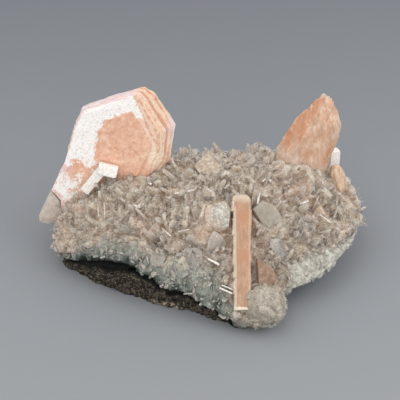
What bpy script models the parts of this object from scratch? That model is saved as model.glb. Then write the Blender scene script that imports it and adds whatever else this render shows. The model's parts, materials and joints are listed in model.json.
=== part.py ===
"""Apophyllite and stilbite cluster on chalcedony and basalt, a loose hand specimen about 105 mm across.

+X is the viewer's right, +Y points away from the viewer and +Z is up. The origin is on the resting face, under the
middle. Lengths in this script are millimetres, turned into metres where each mesh is made.
"""

import math
import random

import bmesh
import bpy
import numpy as np
from mathutils import Vector, noise

MM = 0.001
GAP = 0.3

# Driving sizes of the rock: each rim point is (x, y, z) on its widest line, going round from the left.
RIM = [
    (-47.5, -3.0, 9.5), (-44.5, -9.5, 5.0), (-34.5, -18.0, 8.5), (-25.0, -23.0, 10.5), (-15.5, -28.3, 10.5),
    (-6.0, -32.0, 9.0), (3.0, -35.6, 6.5), (10.0, -39.5, 4.5), (16.0, -42.2, 4.5), (22.0, -41.0, 5.5),
    (25.5, -36.0, 6.5), (26.5, -29.5, 7.5), (31.5, -27.0, 8.5), (38.5, -22.5, 9.0), (44.5, -16.0, 10.0),
    (49.0, -8.5, 11.0), (51.8, 0.0, 13.0), (50.8, 7.5, 16.0), (47.5, 13.5, 18.5), (41.0, 17.5, 19.5),
    (30.0, 21.0, 21.0), (15.0, 22.0, 21.5), (0.0, 21.0, 21.5), (-12.0, 19.5, 20.5), (-24.0, 18.0, 18.5),
    (-35.5, 14.5, 15.5), (-44.0, 7.5, 11.0),
]
# The outline that touches the ground, on z = 0.
FOOT = [
    (-43.0, -4.0), (-42.5, -9.5), (-32.0, -18.0), (-15.7, -26.8), (-4.7, -31.0), (3.0, -34.0), (12.0, -38.0),
    (18.0, -37.0), (24.0, -29.0), (30.0, -15.0), (34.0, 0.0), (30.0, 12.0), (10.0, 18.0), (-15.0, 17.5),
    (-32.0, 12.0), (-41.0, 4.0),
]
CREST = (4.0, 4.0, 26.8)
FOOT_MIDDLE = (2.0, -6.0)
SEGMENTS = 64
WALL_RINGS = 4
TOP_RINGS = 7

# Seams between the layers.
BASALT_TOP = 10.0
BAND_START = (-42.0, -11.0)
BAND_ALONG = (0.875, -0.484)
BAND_INWARD = (0.484, 0.875)
BAND_MIDDLE = 32.0
BAND_HALF = 26.0

# The crust's crystals stand on an even triangular grid, each shifted a little.
CRYSTAL_SPACING = 6.0
CRYSTAL_SHIFT = 1.7

# The large tabular stilbite, in the plane of its plates: the rearmost outline and the front plate's outline.
LARGE_AT = (-28.0, 5.0, 22.0)
LARGE_LEAN = 16.0
LARGE_YAW = -6.0
LARGE_REAR = [
    (-16.7, -12.0), (-16.9, -6.0), (-20.0, -2.4), (-17.6, 3.6), (-16.0, 7.2), (-13.2, 18.6), (-10.5, 25.7),
    (7.6, 33.0), (9.9, 33.5), (13.2, 31.3), (15.2, 28.1), (19.6, 21.2), (19.1, 15.3), (17.9, 8.6),
    (10.5, -0.5), (-6.0, -6.0),
]
LARGE_FRONT = [
    (-16.5, -11.6), (-16.7, -5.8), (-19.8, -2.4), (-16.9, 3.6), (-15.3, 7.2), (-12.5, 18.4), (-9.9, 24.9),
    (6.4, 31.4), (7.4, 31.6), (8.8, 29.0), (10.2, 26.1), (14.6, 19.0), (14.8, 13.5), (12.8, 7.5),
    (8.8, 0.6), (-5.4, -5.0),
]
LARGE_FACE = [(6.1, 26.0), (-2.8, 22.5), (-5.8, 9.6), (-3.5, 6.2), (1.6, 4.6), (8.1, 4.4), (12.2, 13.8)]
LARGE_TERRACES = 5
LARGE_DEPTH = 4.6
LARGE_FRONT_DEPTH = 1.4
FACE_RISE = 0.7

CLEAR_TIP = [(-20.2, -2.7), (-17.2, -6.3), (-17.1, -12.4), (-20.8, -14.6), (-23.8, -14.1), (-24.1, -11.9)]

# The pointed stilbite: silhouette and ridge points across, up and out of its plane.
POINTED_AT = (32.0, 11.0, 25.0)
POINTED_LEAN = 12.0
POINTED_POINTS = [
    (7.2, 25.9, 0.0), (9.3, 24.6, -0.6), (1.2, 19.8, -0.4), (-1.6, 16.9, -0.5), (-8.0, 5.0, -0.5),
    (-8.0, -4.0, -0.5), (11.9, 20.1, 0.0), (13.4, 15.0, 0.0), (12.8, 11.0, 0.0), (10.4, 5.9, 0.0),
    (8.0, -4.0, 0.0), (4.6, 19.0, 3.0), (0.5, 11.5, 4.2), (-3.2, 5.0, 4.4), (-3.2, -4.0, 4.0),
    (9.3, 15.5, 3.0), (8.2, 9.0, 3.4), (5.5, -4.0, 3.6), (4.0, 18.0, -4.0), (-2.0, 8.0, -4.8),
    (-3.0, -4.0, -4.6), (8.0, 14.0, -4.0), (7.0, -4.0, -4.2),
]

# The blade at the front: a fin that runs down the slope, seen on its narrow edge.
BLADE_TOP = (13.2, -10.4, 30.8)
BLADE_FOOT = (13.0, -40.2, 8.9)
BLADE_WIDTH = 5.8
BLADE_DEPTH = 8.5
BLADE_TEETH = 12

# The blocky white crystal beside the blade: its front facet and its widest outline.
WHITE_FRONT_AT = (6.9, -13.6, 25.0)
WHITE_FRONT_FACET = [(-2.9, 1.3), (1.0, 3.7), (2.7, 1.6), (2.0, -4.0), (-1.6, -0.6)]
WHITE_FRONT_GIRDLE = [(-6.6, 0.4), (-4.6, 2.8), (1.0, 4.4), (3.2, 1.8), (2.9, -4.6), (-1.4, -6.0), (-6.0, -4.4)]

# The rounded rosette at the front corner.
ROSETTE_AT = (19.8, -36.6, 7.3)
ROSETTE_RADIUS = 6.4


def clear_scene():
    """Takes every object out of the scene, so that the script starts from nothing."""
    for item in list(bpy.data.objects):
        bpy.data.objects.remove(item, do_unlink=True)


def material(name, colour, roughness):
    """A plain Principled material."""
    made = bpy.data.materials.new(name)
    made.use_nodes = True
    shader = made.node_tree.nodes["Principled BSDF"]
    shader.inputs["Base Color"].default_value = (*colour, 1.0)
    shader.inputs["Roughness"].default_value = roughness
    shader.inputs["Metallic"].default_value = 0.0
    return made


def mesh_object(name, points, faces):
    """A mesh object from points in millimetres, with its faces turned outwards."""
    mesh = bpy.data.meshes.new(name)
    mesh.from_pydata([tuple(float(v) * MM for v in p) for p in points], [], faces)
    shape = bmesh.new()
    shape.from_mesh(mesh)
    bmesh.ops.recalc_face_normals(shape, faces=shape.faces)
    shape.to_mesh(mesh)
    shape.free()
    made = bpy.data.objects.new(name, mesh)
    bpy.context.scene.collection.objects.link(made)
    return made


def hull_object(name, points):
    """The convex solid around a set of points in millimetres."""
    shape = bmesh.new()
    for p in points:
        shape.verts.new([float(v) * MM for v in p])
    made = bmesh.ops.convex_hull(shape, input=shape.verts)
    inner = [v for v in made["geom_interior"] if isinstance(v, bmesh.types.BMVert)]
    bmesh.ops.delete(shape, geom=inner, context="VERTS")
    bmesh.ops.dissolve_limit(shape, angle_limit=0.002, verts=shape.verts, edges=shape.edges)
    bmesh.ops.recalc_face_normals(shape, faces=shape.faces)
    mesh = bpy.data.meshes.new(name)
    shape.to_mesh(mesh)
    shape.free()
    result = bpy.data.objects.new(name, mesh)
    bpy.context.scene.collection.objects.link(result)
    return result


def combine(target, others, operation):
    """Joins other solids to the target or cuts them from it, then removes those solids."""
    group = bpy.data.collections.new("group")
    for other in others:
        group.objects.link(other)
    change = target.modifiers.new("combine", "BOOLEAN")
    change.operation = operation
    change.solver = "EXACT"
    change.operand_type = "COLLECTION"
    change.collection = group
    bpy.context.view_layer.update()
    seen = target.evaluated_get(bpy.context.evaluated_depsgraph_get())
    mesh = bpy.data.meshes.new_from_object(seen)
    target.modifiers.clear()
    target.data = mesh
    bpy.data.collections.remove(group)
    for other in others:
        bpy.data.objects.remove(other, do_unlink=True)


def copy_of(source, name):
    """A second object with its own mesh."""
    made = bpy.data.objects.new(name, source.data.copy())
    bpy.context.scene.collection.objects.link(made)
    return made


def keep_largest(target):
    """Drops chips that a cut has left loose, and welds points closer than a micron."""
    shape = bmesh.new()
    shape.from_mesh(target.data)
    bmesh.ops.remove_doubles(shape, verts=shape.verts, dist=0.000001)
    unseen = set(shape.verts)
    islands = []
    while unseen:
        start = unseen.pop()
        island = {start}
        to_visit = [start]
        while to_visit:
            here = to_visit.pop()
            for edge in here.link_edges:
                other = edge.other_vert(here)
                if other not in island:
                    island.add(other)
                    unseen.discard(other)
                    to_visit.append(other)
        islands.append(island)
    islands.sort(key=len)
    for island in islands[:-1]:
        bmesh.ops.delete(shape, geom=list(island), context="VERTS")
    shape.to_mesh(target.data)
    shape.free()


def finish(target, look):
    """Gives a finished piece its material."""
    target.data.materials.clear()
    target.data.materials.append(look)


def catmull(points, per_span):
    """Points on a closed smooth curve through the given ones."""
    given = np.array(points, float)
    count = len(given)
    result = []
    for i in range(count):
        before, here, after, later = (given[(i + k) % count] for k in (-1, 0, 1, 2))
        for step in range(per_span):
            t = step / per_span
            result.append(
                0.5 * (2 * here + (after - before) * t + (2 * before - 5 * here + 4 * after - later) * t**2
                       + (3 * here - before - 3 * after + later) * t**3)
            )
    return np.array(result)


def around(points, middle, angles):
    """A closed outline read at even angles round a middle: distance, and height where there is one."""
    smooth = catmull(points, 12)
    turn = np.arctan2(smooth[:, 1] - middle[1], smooth[:, 0] - middle[0])
    away = np.hypot(smooth[:, 0] - middle[0], smooth[:, 1] - middle[1])
    order = np.argsort(turn)
    radius = np.interp(angles, turn[order], away[order], period=2 * math.pi)
    if smooth.shape[1] == 2:
        return radius, None
    return radius, np.interp(angles, turn[order], smooth[order, 2], period=2 * math.pi)


ANGLES = np.linspace(-math.pi, math.pi, SEGMENTS, endpoint=False)
RIM_RADIUS, RIM_HEIGHT = around(RIM, CREST, ANGLES)
FOOT_RADIUS, _ = around(FOOT, FOOT_MIDDLE, ANGLES)


def lumps(x, y, z, size, seed):
    """Smooth natural unevenness between about -1 and 1."""
    return noise.noise(Vector((x / size + seed, y / size - seed, z / size + 2 * seed)))


def top_power(angle):
    """How square the crust's shoulder is: a gentle slope towards the viewer, a flat top to the rear."""
    return 3.2 + 1.6 * math.sin(angle) - 1.1 * math.cos(angle)


def top_height(x, y):
    """Height of the crust's smooth upper surface over a place in plan."""
    dx = x - CREST[0]
    dy = y - CREST[1]
    angle = math.atan2(dy, dx)
    edge = np.interp(angle, ANGLES, RIM_RADIUS, period=2 * math.pi)
    low = np.interp(angle, ANGLES, RIM_HEIGHT, period=2 * math.pi)
    part = min(math.hypot(dx, dy) / edge, 1.0)
    return low + (CREST[2] - low) * (1.0 - part ** top_power(angle))


def bump(x, y, middle, reach):
    """A soft round hump, 1 at its middle."""
    return math.exp(-((x - middle[0]) ** 2 + (y - middle[1]) ** 2) / (2.0 * reach * reach))


def basalt_top(x, y):
    """Height of the seam between basalt and chalcedony."""
    right = min(max((x - 10.0) / 25.0, 0.0), 1.0)
    height = BASALT_TOP - 2.5 * right * right * (3.0 - 2.0 * right)
    height -= 6.0 * bump(x, y, (14.0, -42.0), 10.0)
    height -= 7.5 * bump(x, y, (-47.0, -3.0), 10.0)
    height -= 14.0 * bump(x, y, (22.0, -38.0), 6.0)
    height += 2.4 * bump(x, y, (-24.0, -22.0), 7.0)
    height -= 1.6 * bump(x, y, (1.0, -35.0), 6.0)
    return height


def chalcedony_top(x, y):
    """Height of the seam between chalcedony and the crust of crystals."""
    dx = x - BAND_START[0]
    dy = y - BAND_START[1]
    along = dx * BAND_ALONG[0] + dy * BAND_ALONG[1]
    inward = dx * BAND_INWARD[0] + dy * BAND_INWARD[1]
    band = math.exp(-(((along - BAND_MIDDLE) / BAND_HALF) ** 4) - (inward / 22.0) ** 2)
    height = basalt_top(x, y) + 2.2 + 4.4 * band
    height += 2.8 * bump(x, y, (40.0, -18.0), 11.0)
    return height


def rock():
    """The whole rock as one lumpy solid, before it is parted along its seams."""
    points = []
    for k in range(WALL_RINGS + TOP_RINGS):
        for i, angle in enumerate(ANGLES):
            ray = np.array((math.cos(angle), math.sin(angle)))
            foot = np.array(FOOT_MIDDLE) + FOOT_RADIUS[i] * ray
            rim = np.array(CREST[:2]) + RIM_RADIUS[i] * ray
            if k <= WALL_RINGS:
                part = k / WALL_RINGS
                out = part**1.6
                x = foot[0] + (rim[0] - foot[0]) * out
                y = foot[1] + (rim[1] - foot[1]) * out
                z = RIM_HEIGHT[i] * part**0.7
            else:
                part = 1.0 - (k - WALL_RINGS) / TOP_RINGS
                x = CREST[0] + (rim[0] - CREST[0]) * part
                y = CREST[1] + (rim[1] - CREST[1]) * part
                z = top_height(x, y)
            rough = 1.5 * lumps(x, y, z, 9.0, 3.7) + 1.5 * lumps(x, y, z, 2.9, 8.1)
            if k > WALL_RINGS:
                z += 0.8 * rough
            else:
                x += rough * math.cos(angle)
                y += rough * math.sin(angle)
            points.append((x, y, z))
    faces = [tuple(range(SEGMENTS - 1, -1, -1))]
    for k in range(WALL_RINGS + TOP_RINGS - 1):
        for i in range(SEGMENTS):
            j = (i + 1) % SEGMENTS
            a = k * SEGMENTS + i
            b = k * SEGMENTS + j
            faces.append((a, b, b + SEGMENTS))
            faces.append((a, b + SEGMENTS, a + SEGMENTS))
    crest = len(points)
    points.append(CREST)
    last = (WALL_RINGS + TOP_RINGS - 1) * SEGMENTS
    for i in range(SEGMENTS):
        faces.append((last + i, last + (i + 1) % SEGMENTS, crest))
    return mesh_object("rock", points, faces)


def seam_block(height, lift, end):
    """A block whose one side is a wavy seam and whose other side is level, reaching past the rock."""
    spokes = 40
    rings = (0.5, 0.9, 1.25)
    middle = FOOT_MIDDLE
    angles = [2 * math.pi * i / spokes for i in range(spokes)]
    reach, _ = around(RIM, middle, np.array(angles))
    points = [(middle[0], middle[1], height(*middle) + lift)]
    for ring in rings:
        for angle, radius in zip(angles, reach):
            x = middle[0] + ring * radius * math.cos(angle)
            y = middle[1] + ring * radius * math.sin(angle)
            wave = 0.9 * lumps(x, y, 0.0, 6.0, 5.3)
            points.append((x, y, height(x, y) + wave + lift))
    faces = []
    for i in range(spokes):
        j = (i + 1) % spokes
        faces.append((0, 1 + i, 1 + j))
        for k in range(len(rings) - 1):
            a = 1 + k * spokes
            b = a + spokes
            faces.append((a + i, b + i, b + j))
            faces.append((a + i, b + j, a + j))
    outer = 1 + (len(rings) - 1) * spokes
    level = len(points)
    for i in range(spokes):
        points.append((points[outer + i][0], points[outer + i][1], end))
    for i in range(spokes):
        j = (i + 1) % spokes
        faces.append((outer + i, outer + j, level + j, level + i))
    faces.append(tuple(level + i for i in range(spokes)))
    return mesh_object("seam_block", points, faces)


class Plane:
    """A crystal's own frame: across, up and out of its main face, at a place in the specimen."""

    def __init__(self, at, lean, yaw=0.0, roll=0.0):
        lean, yaw, roll = (math.radians(v) for v in (lean, yaw, roll))
        self.at = np.array(at, float)
        out = (math.sin(yaw) * math.cos(lean), -math.cos(yaw) * math.cos(lean), math.sin(lean))
        self.out = np.array(out)
        across = np.array((math.cos(yaw), math.sin(yaw), 0.0))
        up = np.cross(self.out, across)
        self.across = across * math.cos(roll) + up * math.sin(roll)
        self.up = up * math.cos(roll) - across * math.sin(roll)

    def place(self, point):
        """A point across, up and out, as a place in the specimen."""
        return self.at + self.across * point[0] + self.up * point[1] + self.out * point[2]


def widened(outline, by):
    """A flat outline with every side moved outwards."""
    given = [np.array(p, float) for p in outline]
    count = len(given)
    following = given[1:] + given[:1]
    area = sum(a[0] * b[1] - b[0] * a[1] for a, b in zip(given, following))
    turn = 1.0 if area > 0 else -1.0
    result = []
    for i in range(count):
        into = given[i] - given[i - 1]
        onward = following[i] - given[i]
        first = np.array((into[1], -into[0])) * turn / np.linalg.norm(into)
        second = np.array((onward[1], -onward[0])) * turn / np.linalg.norm(onward)
        corner = (first + second) / (1.0 + float(first @ second))
        result.append(given[i] + corner * by)
    return result


def prism(name, plane, outline, low, high, grow=0.0):
    """A flat plate from its outline and the two depths of its faces."""
    flat = widened(outline, grow) if grow else outline
    count = len(flat)
    points = [plane.place((p[0], p[1], low - grow)) for p in flat]
    points += [plane.place((p[0], p[1], high + grow)) for p in flat]
    faces = [tuple(range(count)), tuple(range(count, 2 * count))]
    faces += [(i, (i + 1) % count, count + (i + 1) % count, count + i) for i in range(count)]
    return mesh_object(name, points, faces)


def spread(points, grow):
    """Every point moved a little along each diagonal, which widens the convex solid round them."""
    if not grow:
        return points
    sides = [(sx, sy, sz) for sx in (-1, 1) for sy in (-1, 1) for sz in (-1, 1)]
    return [tuple(p[k] + grow * s[k] for k in range(3)) for p in points for s in sides]


def hull(name, plane, points, grow=0.0):
    """A convex crystal from points across, up and out of its plane."""
    return hull_object(name, [plane.place(p) for p in spread(points, grow)])


def large_stilbite(grow=0.0):
    """A stack of plates whose outlines step from the rear one to the front one, with a raised face."""
    plane = Plane(LARGE_AT, LARGE_LEAN, LARGE_YAW)
    rear = LARGE_FRONT_DEPTH - LARGE_DEPTH
    backing = [(p[0] * 0.8 - 0.5, p[1] * 0.8 + 3.4) for p in LARGE_FRONT]
    plates = [
        prism("plate", plane, LARGE_FACE, LARGE_FRONT_DEPTH - 0.4, LARGE_FRONT_DEPTH + FACE_RISE, grow),
        prism("plate", plane, backing, rear - 0.9, rear + 0.3, grow),
    ]
    if grow:
        return plates + [prism("cut", plane, LARGE_REAR, rear, LARGE_FRONT_DEPTH, grow)]
    step = LARGE_DEPTH / LARGE_TERRACES
    for k in range(LARGE_TERRACES):
        part = k / (LARGE_TERRACES - 1)
        outline = [
            (a[0] + (b[0] - a[0]) * part, a[1] + (b[1] - a[1]) * part) for a, b in zip(LARGE_REAR, LARGE_FRONT)
        ]
        low = rear if k == 0 else rear + k * step - 0.3
        plates.append(prism("plate", plane, outline, low, rear + (k + 1) * step))
    body = plates.pop(0)
    body.name = "stilbite_large"
    combine(body, plates, "UNION")
    return body


def clear_crystal(grow=0.0):
    """The colourless crystal at the large one's foot: a wedge with a thin front edge."""
    plane = Plane(LARGE_AT, LARGE_LEAN, LARGE_YAW)
    points = [(p[0], p[1], 0.9) for p in CLEAR_TIP]
    points += [(p[0] * 0.9 - 2.0, p[1] * 0.9 - 0.9, -2.6) for p in CLEAR_TIP]
    points += [(p[0] * 0.5 - 10.3, p[1] * 0.5 - 5.0, 2.0) for p in CLEAR_TIP]
    return hull("clear_crystal_left", plane, points, grow)


def pointed_stilbite(grow=0.0):
    """The pointed crystal, with a ridge down its face."""
    return hull("stilbite_pointed", Plane(POINTED_AT, POINTED_LEAN), POINTED_POINTS, grow)


def blade_stilbite(grow=0.0):
    """A fin with a toothed left edge: sections across it, from the rounded top to the foot."""
    top = np.array(BLADE_TOP)
    foot = np.array(BLADE_FOOT)
    along = foot - top
    length = float(np.linalg.norm(along))
    along /= length
    across = np.array((1.0, 0.0, 0.0))
    out = np.cross(along, across)
    toothed = [0.12 + 0.84 * k / (2 * BLADE_TEETH) for k in range(2 * BLADE_TEETH + 1)]
    stations = [0.0, 0.03, 0.08] + toothed + [1.0]
    if grow:
        stations = [0.0, 0.08, 0.5, 1.0]
    points = []
    for k, part in enumerate(stations):
        here = top + along * (part * length)
        if grow:
            here = here + along * (grow * (2.0 * part - 1.0))
        half = 0.5 * BLADE_WIDTH * (1.0 - 0.1 * part)
        rounded = min(part / 0.08, 1.0)
        half *= 0.72 + 0.28 * rounded
        drop = 1.3 * (1.0 - rounded)
        depth = BLADE_DEPTH * (1.0 - 0.35 * part)
        tooth = 0.6 if k % 2 and 0.1 < part < 0.99 else 0.0
        if grow:
            tooth = 0.7
        section = [
            (-half - tooth - grow, -1.3), (-half + 1.2, -drop), (half - 0.5, -drop), (half + grow, -0.7 - drop),
            (half + grow, -depth - grow), (-half - grow, -depth - grow), (-half - grow, -2.6),
        ]
        points += [here + across * s[0] + out * s[1] for s in section]
    side = 7
    faces = [tuple(range(side)), tuple(range((len(stations) - 1) * side, len(stations) * side))]
    for k in range(len(stations) - 1):
        for i in range(side):
            j = (i + 1) % side
            a = k * side
            faces.append((a + i, a + j, a + side + j))
            faces.append((a + i, a + side + j, a + side + i))
    return mesh_object("stilbite_blade", points, faces)


def barrel_stilbite(grow=0.0):
    """A small barrel-shaped crystal that lies down the right slope."""
    plane = Plane((44.6, 9.6, 21.7), 40.0, 8.0, 6.0)
    points = []
    for up, radius in ((-5.4, 1.5), (-3.6, 2.3), (-0.5, 2.7), (2.4, 2.3), (4.2, 1.4)):
        for i in range(8):
            angle = 2 * math.pi * (i + 0.5) / 8
            points.append((radius * math.cos(angle), up, radius * math.sin(angle)))
    return hull("stilbite_barrel", plane, points, grow)


def block_points(width, height, depth, cut):
    """A blocky apophyllite crystal: a square prism with its eight corners cut off."""
    points = []
    for sx in (-1, 1):
        for sy in (-1, 1):
            for sz in (-1, 1):
                x, y, z = sx * width / 2, sy * height / 2, sz * depth / 2
                points.append((x - sx * cut, y, z))
                points.append((x, y - sy * cut, z))
                points.append((x, y, z - sz * cut * 0.8))
    return points


def white_twin(grow=0.0):
    """Two white crystals that meet in a V before the large stilbite."""
    base = Plane(LARGE_AT, LARGE_LEAN, LARGE_YAW)
    left = Plane(base.place((-5.7, 3.0, 3.9)), LARGE_LEAN, LARGE_YAW, -36.0)
    right = Plane(base.place((-1.1, 6.9, 4.2)), LARGE_LEAN + 6.0, 0.0, -14.0)
    first = hull("white_twin_left", left, block_points(3.0, 9.6, 2.8, 0.6), grow)
    second = hull("second", right, block_points(6.2, 3.6, 3.0, 0.7), grow)
    if grow:
        return [first, second]
    combine(first, [second], "UNION")
    return first


def white_front(grow=0.0):
    """The blocky crystal with a white kite-shaped front facet, beside the blade."""
    plane = Plane(WHITE_FRONT_AT, 40.0)
    points = [(p[0], p[1], 0.0) for p in WHITE_FRONT_FACET]
    points += [(p[0], p[1], -2.4) for p in WHITE_FRONT_GIRDLE]
    points += [(p[0] * 0.8, p[1] * 0.8, -5.0) for p in WHITE_FRONT_GIRDLE]
    return hull("white_crystal_front", plane, points, grow)


def white_right(grow=0.0):
    """The small white crystal behind the right side."""
    plane = Plane((43.3, 16.5, 22.6), 6.0, 24.0, -6.0)
    return hull("white_crystal_right", plane, block_points(3.4, 9.6, 3.2, 0.8), grow)


def plate_from(name, plane, outline, thick, grow=0.0):
    """A flat crystal with bevelled edges, from its front outline."""
    points = [(p[0], p[1], 0.0) for p in outline]
    points += [(p[0] * 1.12, p[1] * 1.12, -0.5 * thick) for p in outline]
    points += [(p[0], p[1], -thick) for p in outline]
    return hull(name, plane, points, grow)


def cream_plate(grow=0.0):
    """The square cream plate at the middle of the rear."""
    outline = [(0.0, 4.8), (3.7, 2.2), (4.4, -3.4), (-1.2, -5.0), (-4.9, 0.0)]
    return plate_from("cream_plate_rear", Plane((3.0, 6.2, 29.0), 42.0, 4.0), outline, 4.4, grow)


def mint_crystal(grow=0.0):
    """The pale greenish plate right of the blade."""
    outline = [(-4.3, 1.9), (-1.0, 4.2), (2.3, 2.7), (4.3, -1.1), (3.1, -3.4), (0.0, -4.2), (-2.3, -2.1)]
    return plate_from("mint_crystal", Plane((21.2, -9.9, 22.1), 46.0, 8.0), outline, 3.8, grow)


def pink_crystal(grow=0.0):
    """The pink wedge at the foot of the blade."""
    outline = [(-2.0, 5.8), (2.2, 3.0), (3.6, -0.6), (-1.4, -5.4), (-2.2, -4.0)]
    return plate_from("pink_crystal_front", Plane((20.2, -30.7, 13.8), 44.0, 8.0), outline, 4.0, grow)


def lath(place, axis, face, size, tip):
    """One small crystal of the crust: a flat lath with a roof-shaped or pointed end."""
    width, thick, length = size
    axis = axis.normalized()
    across = axis.cross(face).normalized()
    face = across.cross(axis)
    start = place - axis * (0.42 * length)
    end = place + axis * (0.58 * length - 0.45 * width)
    points = []
    for base, taper in ((start, 0.75), (end, 1.0)):
        for sx, sy in ((-1, -1), (1, -1), (1, 1), (-1, 1)):
            points.append(base + across * (0.5 * width * sx * taper) + face * (0.5 * thick * sy * taper))
    peak = place + axis * (0.58 * length)
    if tip == "roof":
        points += [peak + face * (0.32 * thick), peak - face * (0.32 * thick)]
    elif tip == "slant":
        side = peak + across * (0.3 * width)
        points += [side + face * (0.3 * thick), side - face * (0.3 * thick)]
    else:
        points += [peak + across * (0.24 * width), peak - across * (0.24 * width)]
    return hull_object("lath", points)


def taken_by_large_crystals(x, y):
    """Whether a place in plan is under one of the crystals that have nodes of their own."""
    plane = Plane(LARGE_AT, LARGE_LEAN, LARGE_YAW)
    offset = np.array((x, y, top_height(x, y))) - plane.at
    across = float(offset @ plane.across)
    out = float(offset @ plane.out)
    if -22.0 < across < 20.0 and -4.4 < out < 2.4:
        return True
    if 9.0 < x < 17.4 and -43.0 < y < -9.0:
        return True
    rounds = [
        (33.0, 10.5, 9.0), (44.3, 9.6, 4.6), (-35.0, 0.4, 3.4), (5.4, -14.4, 4.8), (43.3, 16.5, 2.4),
        (3.0, 6.9, 4.4), (21.2, -9.4, 4.2), (20.2, -30.2, 3.4),
    ]
    return any(math.hypot(x - r[0], y - r[1]) < r[2] for r in rounds)


def druse_laths():
    """The crust's crystals, spread evenly over it, leaning every way and outwards at the rim."""
    draw = random.Random(41)
    made = []
    row_step = CRYSTAL_SPACING * math.sqrt(3.0) / 2.0
    for row in range(-9, 8):
        for column in range(-10, 11):
            x = (column + 0.5 * (row % 2)) * CRYSTAL_SPACING + draw.uniform(-1, 1) * CRYSTAL_SHIFT
            y = row * row_step - 4.0 + draw.uniform(-1, 1) * CRYSTAL_SHIFT
            spin = draw.uniform(0.0, 2 * math.pi)
            tilt = draw.uniform(0.35, 1.2)
            face = Vector((draw.uniform(-1, 1), draw.uniform(-1, 1), draw.uniform(-0.3, 1)))
            length = draw.uniform(6.5, 10.5)
            width = draw.uniform(2.8, 5.4)
            thick = draw.uniform(1.0, 2.0)
            tip = draw.choice(("roof", "slant", "point"))
            angle = math.atan2(y - CREST[1], x - CREST[0])
            edge = float(np.interp(angle, ANGLES, RIM_RADIUS, period=2 * math.pi))
            part = math.hypot(x - CREST[0], y - CREST[1]) / edge
            z = top_height(x, y)
            if part > 0.98 or z < chalcedony_top(x, y) + 1.2 or taken_by_large_crystals(x, y):
                continue
            lean_out = 0.25 + 1.3 * part**4
            away = Vector((math.cos(angle) * lean_out, math.sin(angle) * lean_out, 1.0)).normalized()
            axis = away + Vector((math.cos(spin), math.sin(spin), 0.0)) * tilt
            length *= 1.05 - 0.3 * part * part
            made.append(lath(Vector((x, y, z - 0.2)), axis, face, (width, thick, length), tip))
    return made


def rosette():
    """The rounded mass of crystals at the front corner: a ball with flat facets and a few plates."""
    draw = random.Random(7)
    shape = bmesh.new()
    bmesh.ops.create_icosphere(shape, subdivisions=2, radius=ROSETTE_RADIUS)
    points = []
    for vert in shape.verts:
        scale = 1.0 + draw.uniform(-0.06, 0.03)
        points.append([ROSETTE_AT[k] + vert.co[k] * scale for k in range(3)])
    shape.free()
    ball = hull_object("rosette", points)
    plates = []
    for turn in (-0.5, 0.3, 1.2, 2.2):
        axis = Vector((math.cos(turn), -0.7, 0.55 + 0.25 * math.sin(turn)))
        face = Vector((-math.sin(turn), 0.2, math.cos(turn)))
        plates.append(lath(Vector(ROSETTE_AT), axis, face, (5.6, 2.2, 13.0), "roof"))
    return [ball] + plates


def main():
    clear_scene()
    looks = {
        "basalt": material("basalt", (0.055, 0.052, 0.045), 0.85),
        "chalcedony": material("chalcedony", (0.27, 0.27, 0.23), 0.55),
        "druse": material("druse", (0.42, 0.34, 0.27), 0.3),
        "stilbite": material("stilbite", (0.78, 0.49, 0.34), 0.35),
        "clear_apophyllite": material("clear_apophyllite", (0.62, 0.56, 0.5), 0.1),
        "white_apophyllite": material("white_apophyllite", (0.85, 0.82, 0.78), 0.3),
    }

    whole = rock()
    basalt = copy_of(whole, "basalt_matrix")
    combine(basalt, [seam_block(basalt_top, 0.0, 60.0)], "DIFFERENCE")
    keep_largest(basalt)
    finish(basalt, looks["basalt"])

    layer = copy_of(whole, "chalcedony_layer")
    combine(layer, [seam_block(chalcedony_top, 0.0, 60.0)], "DIFFERENCE")
    combine(layer, [seam_block(basalt_top, GAP, -20.0), blade_stilbite(GAP)], "DIFFERENCE")
    keep_largest(layer)
    finish(layer, looks["chalcedony"])

    crust = whole
    crust.name = "druse_crust"
    combine(crust, druse_laths() + rosette(), "UNION")
    cutters = [seam_block(chalcedony_top, GAP, -20.0)]
    cutters += large_stilbite(GAP) + white_twin(GAP)
    singles = (
        clear_crystal, pointed_stilbite, blade_stilbite, barrel_stilbite, white_front, white_right, cream_plate,
        mint_crystal, pink_crystal,
    )
    cutters += [make(GAP) for make in singles]
    combine(crust, cutters, "DIFFERENCE")
    keep_largest(crust)
    finish(crust, looks["druse"])

    finish(large_stilbite(), looks["stilbite"])
    finish(pointed_stilbite(), looks["stilbite"])
    finish(blade_stilbite(), looks["stilbite"])
    finish(barrel_stilbite(), looks["stilbite"])
    finish(pink_crystal(), looks["stilbite"])
    finish(clear_crystal(), looks["clear_apophyllite"])
    finish(mint_crystal(), looks["clear_apophyllite"])
    finish(cream_plate(), looks["white_apophyllite"])
    finish(white_twin(), looks["white_apophyllite"])
    finish(white_front(), looks["white_apophyllite"])
    finish(white_right(), looks["white_apophyllite"])


main()
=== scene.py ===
import json
import math
import random

import bmesh
import bpy
import numpy as np
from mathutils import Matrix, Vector, noise

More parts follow.
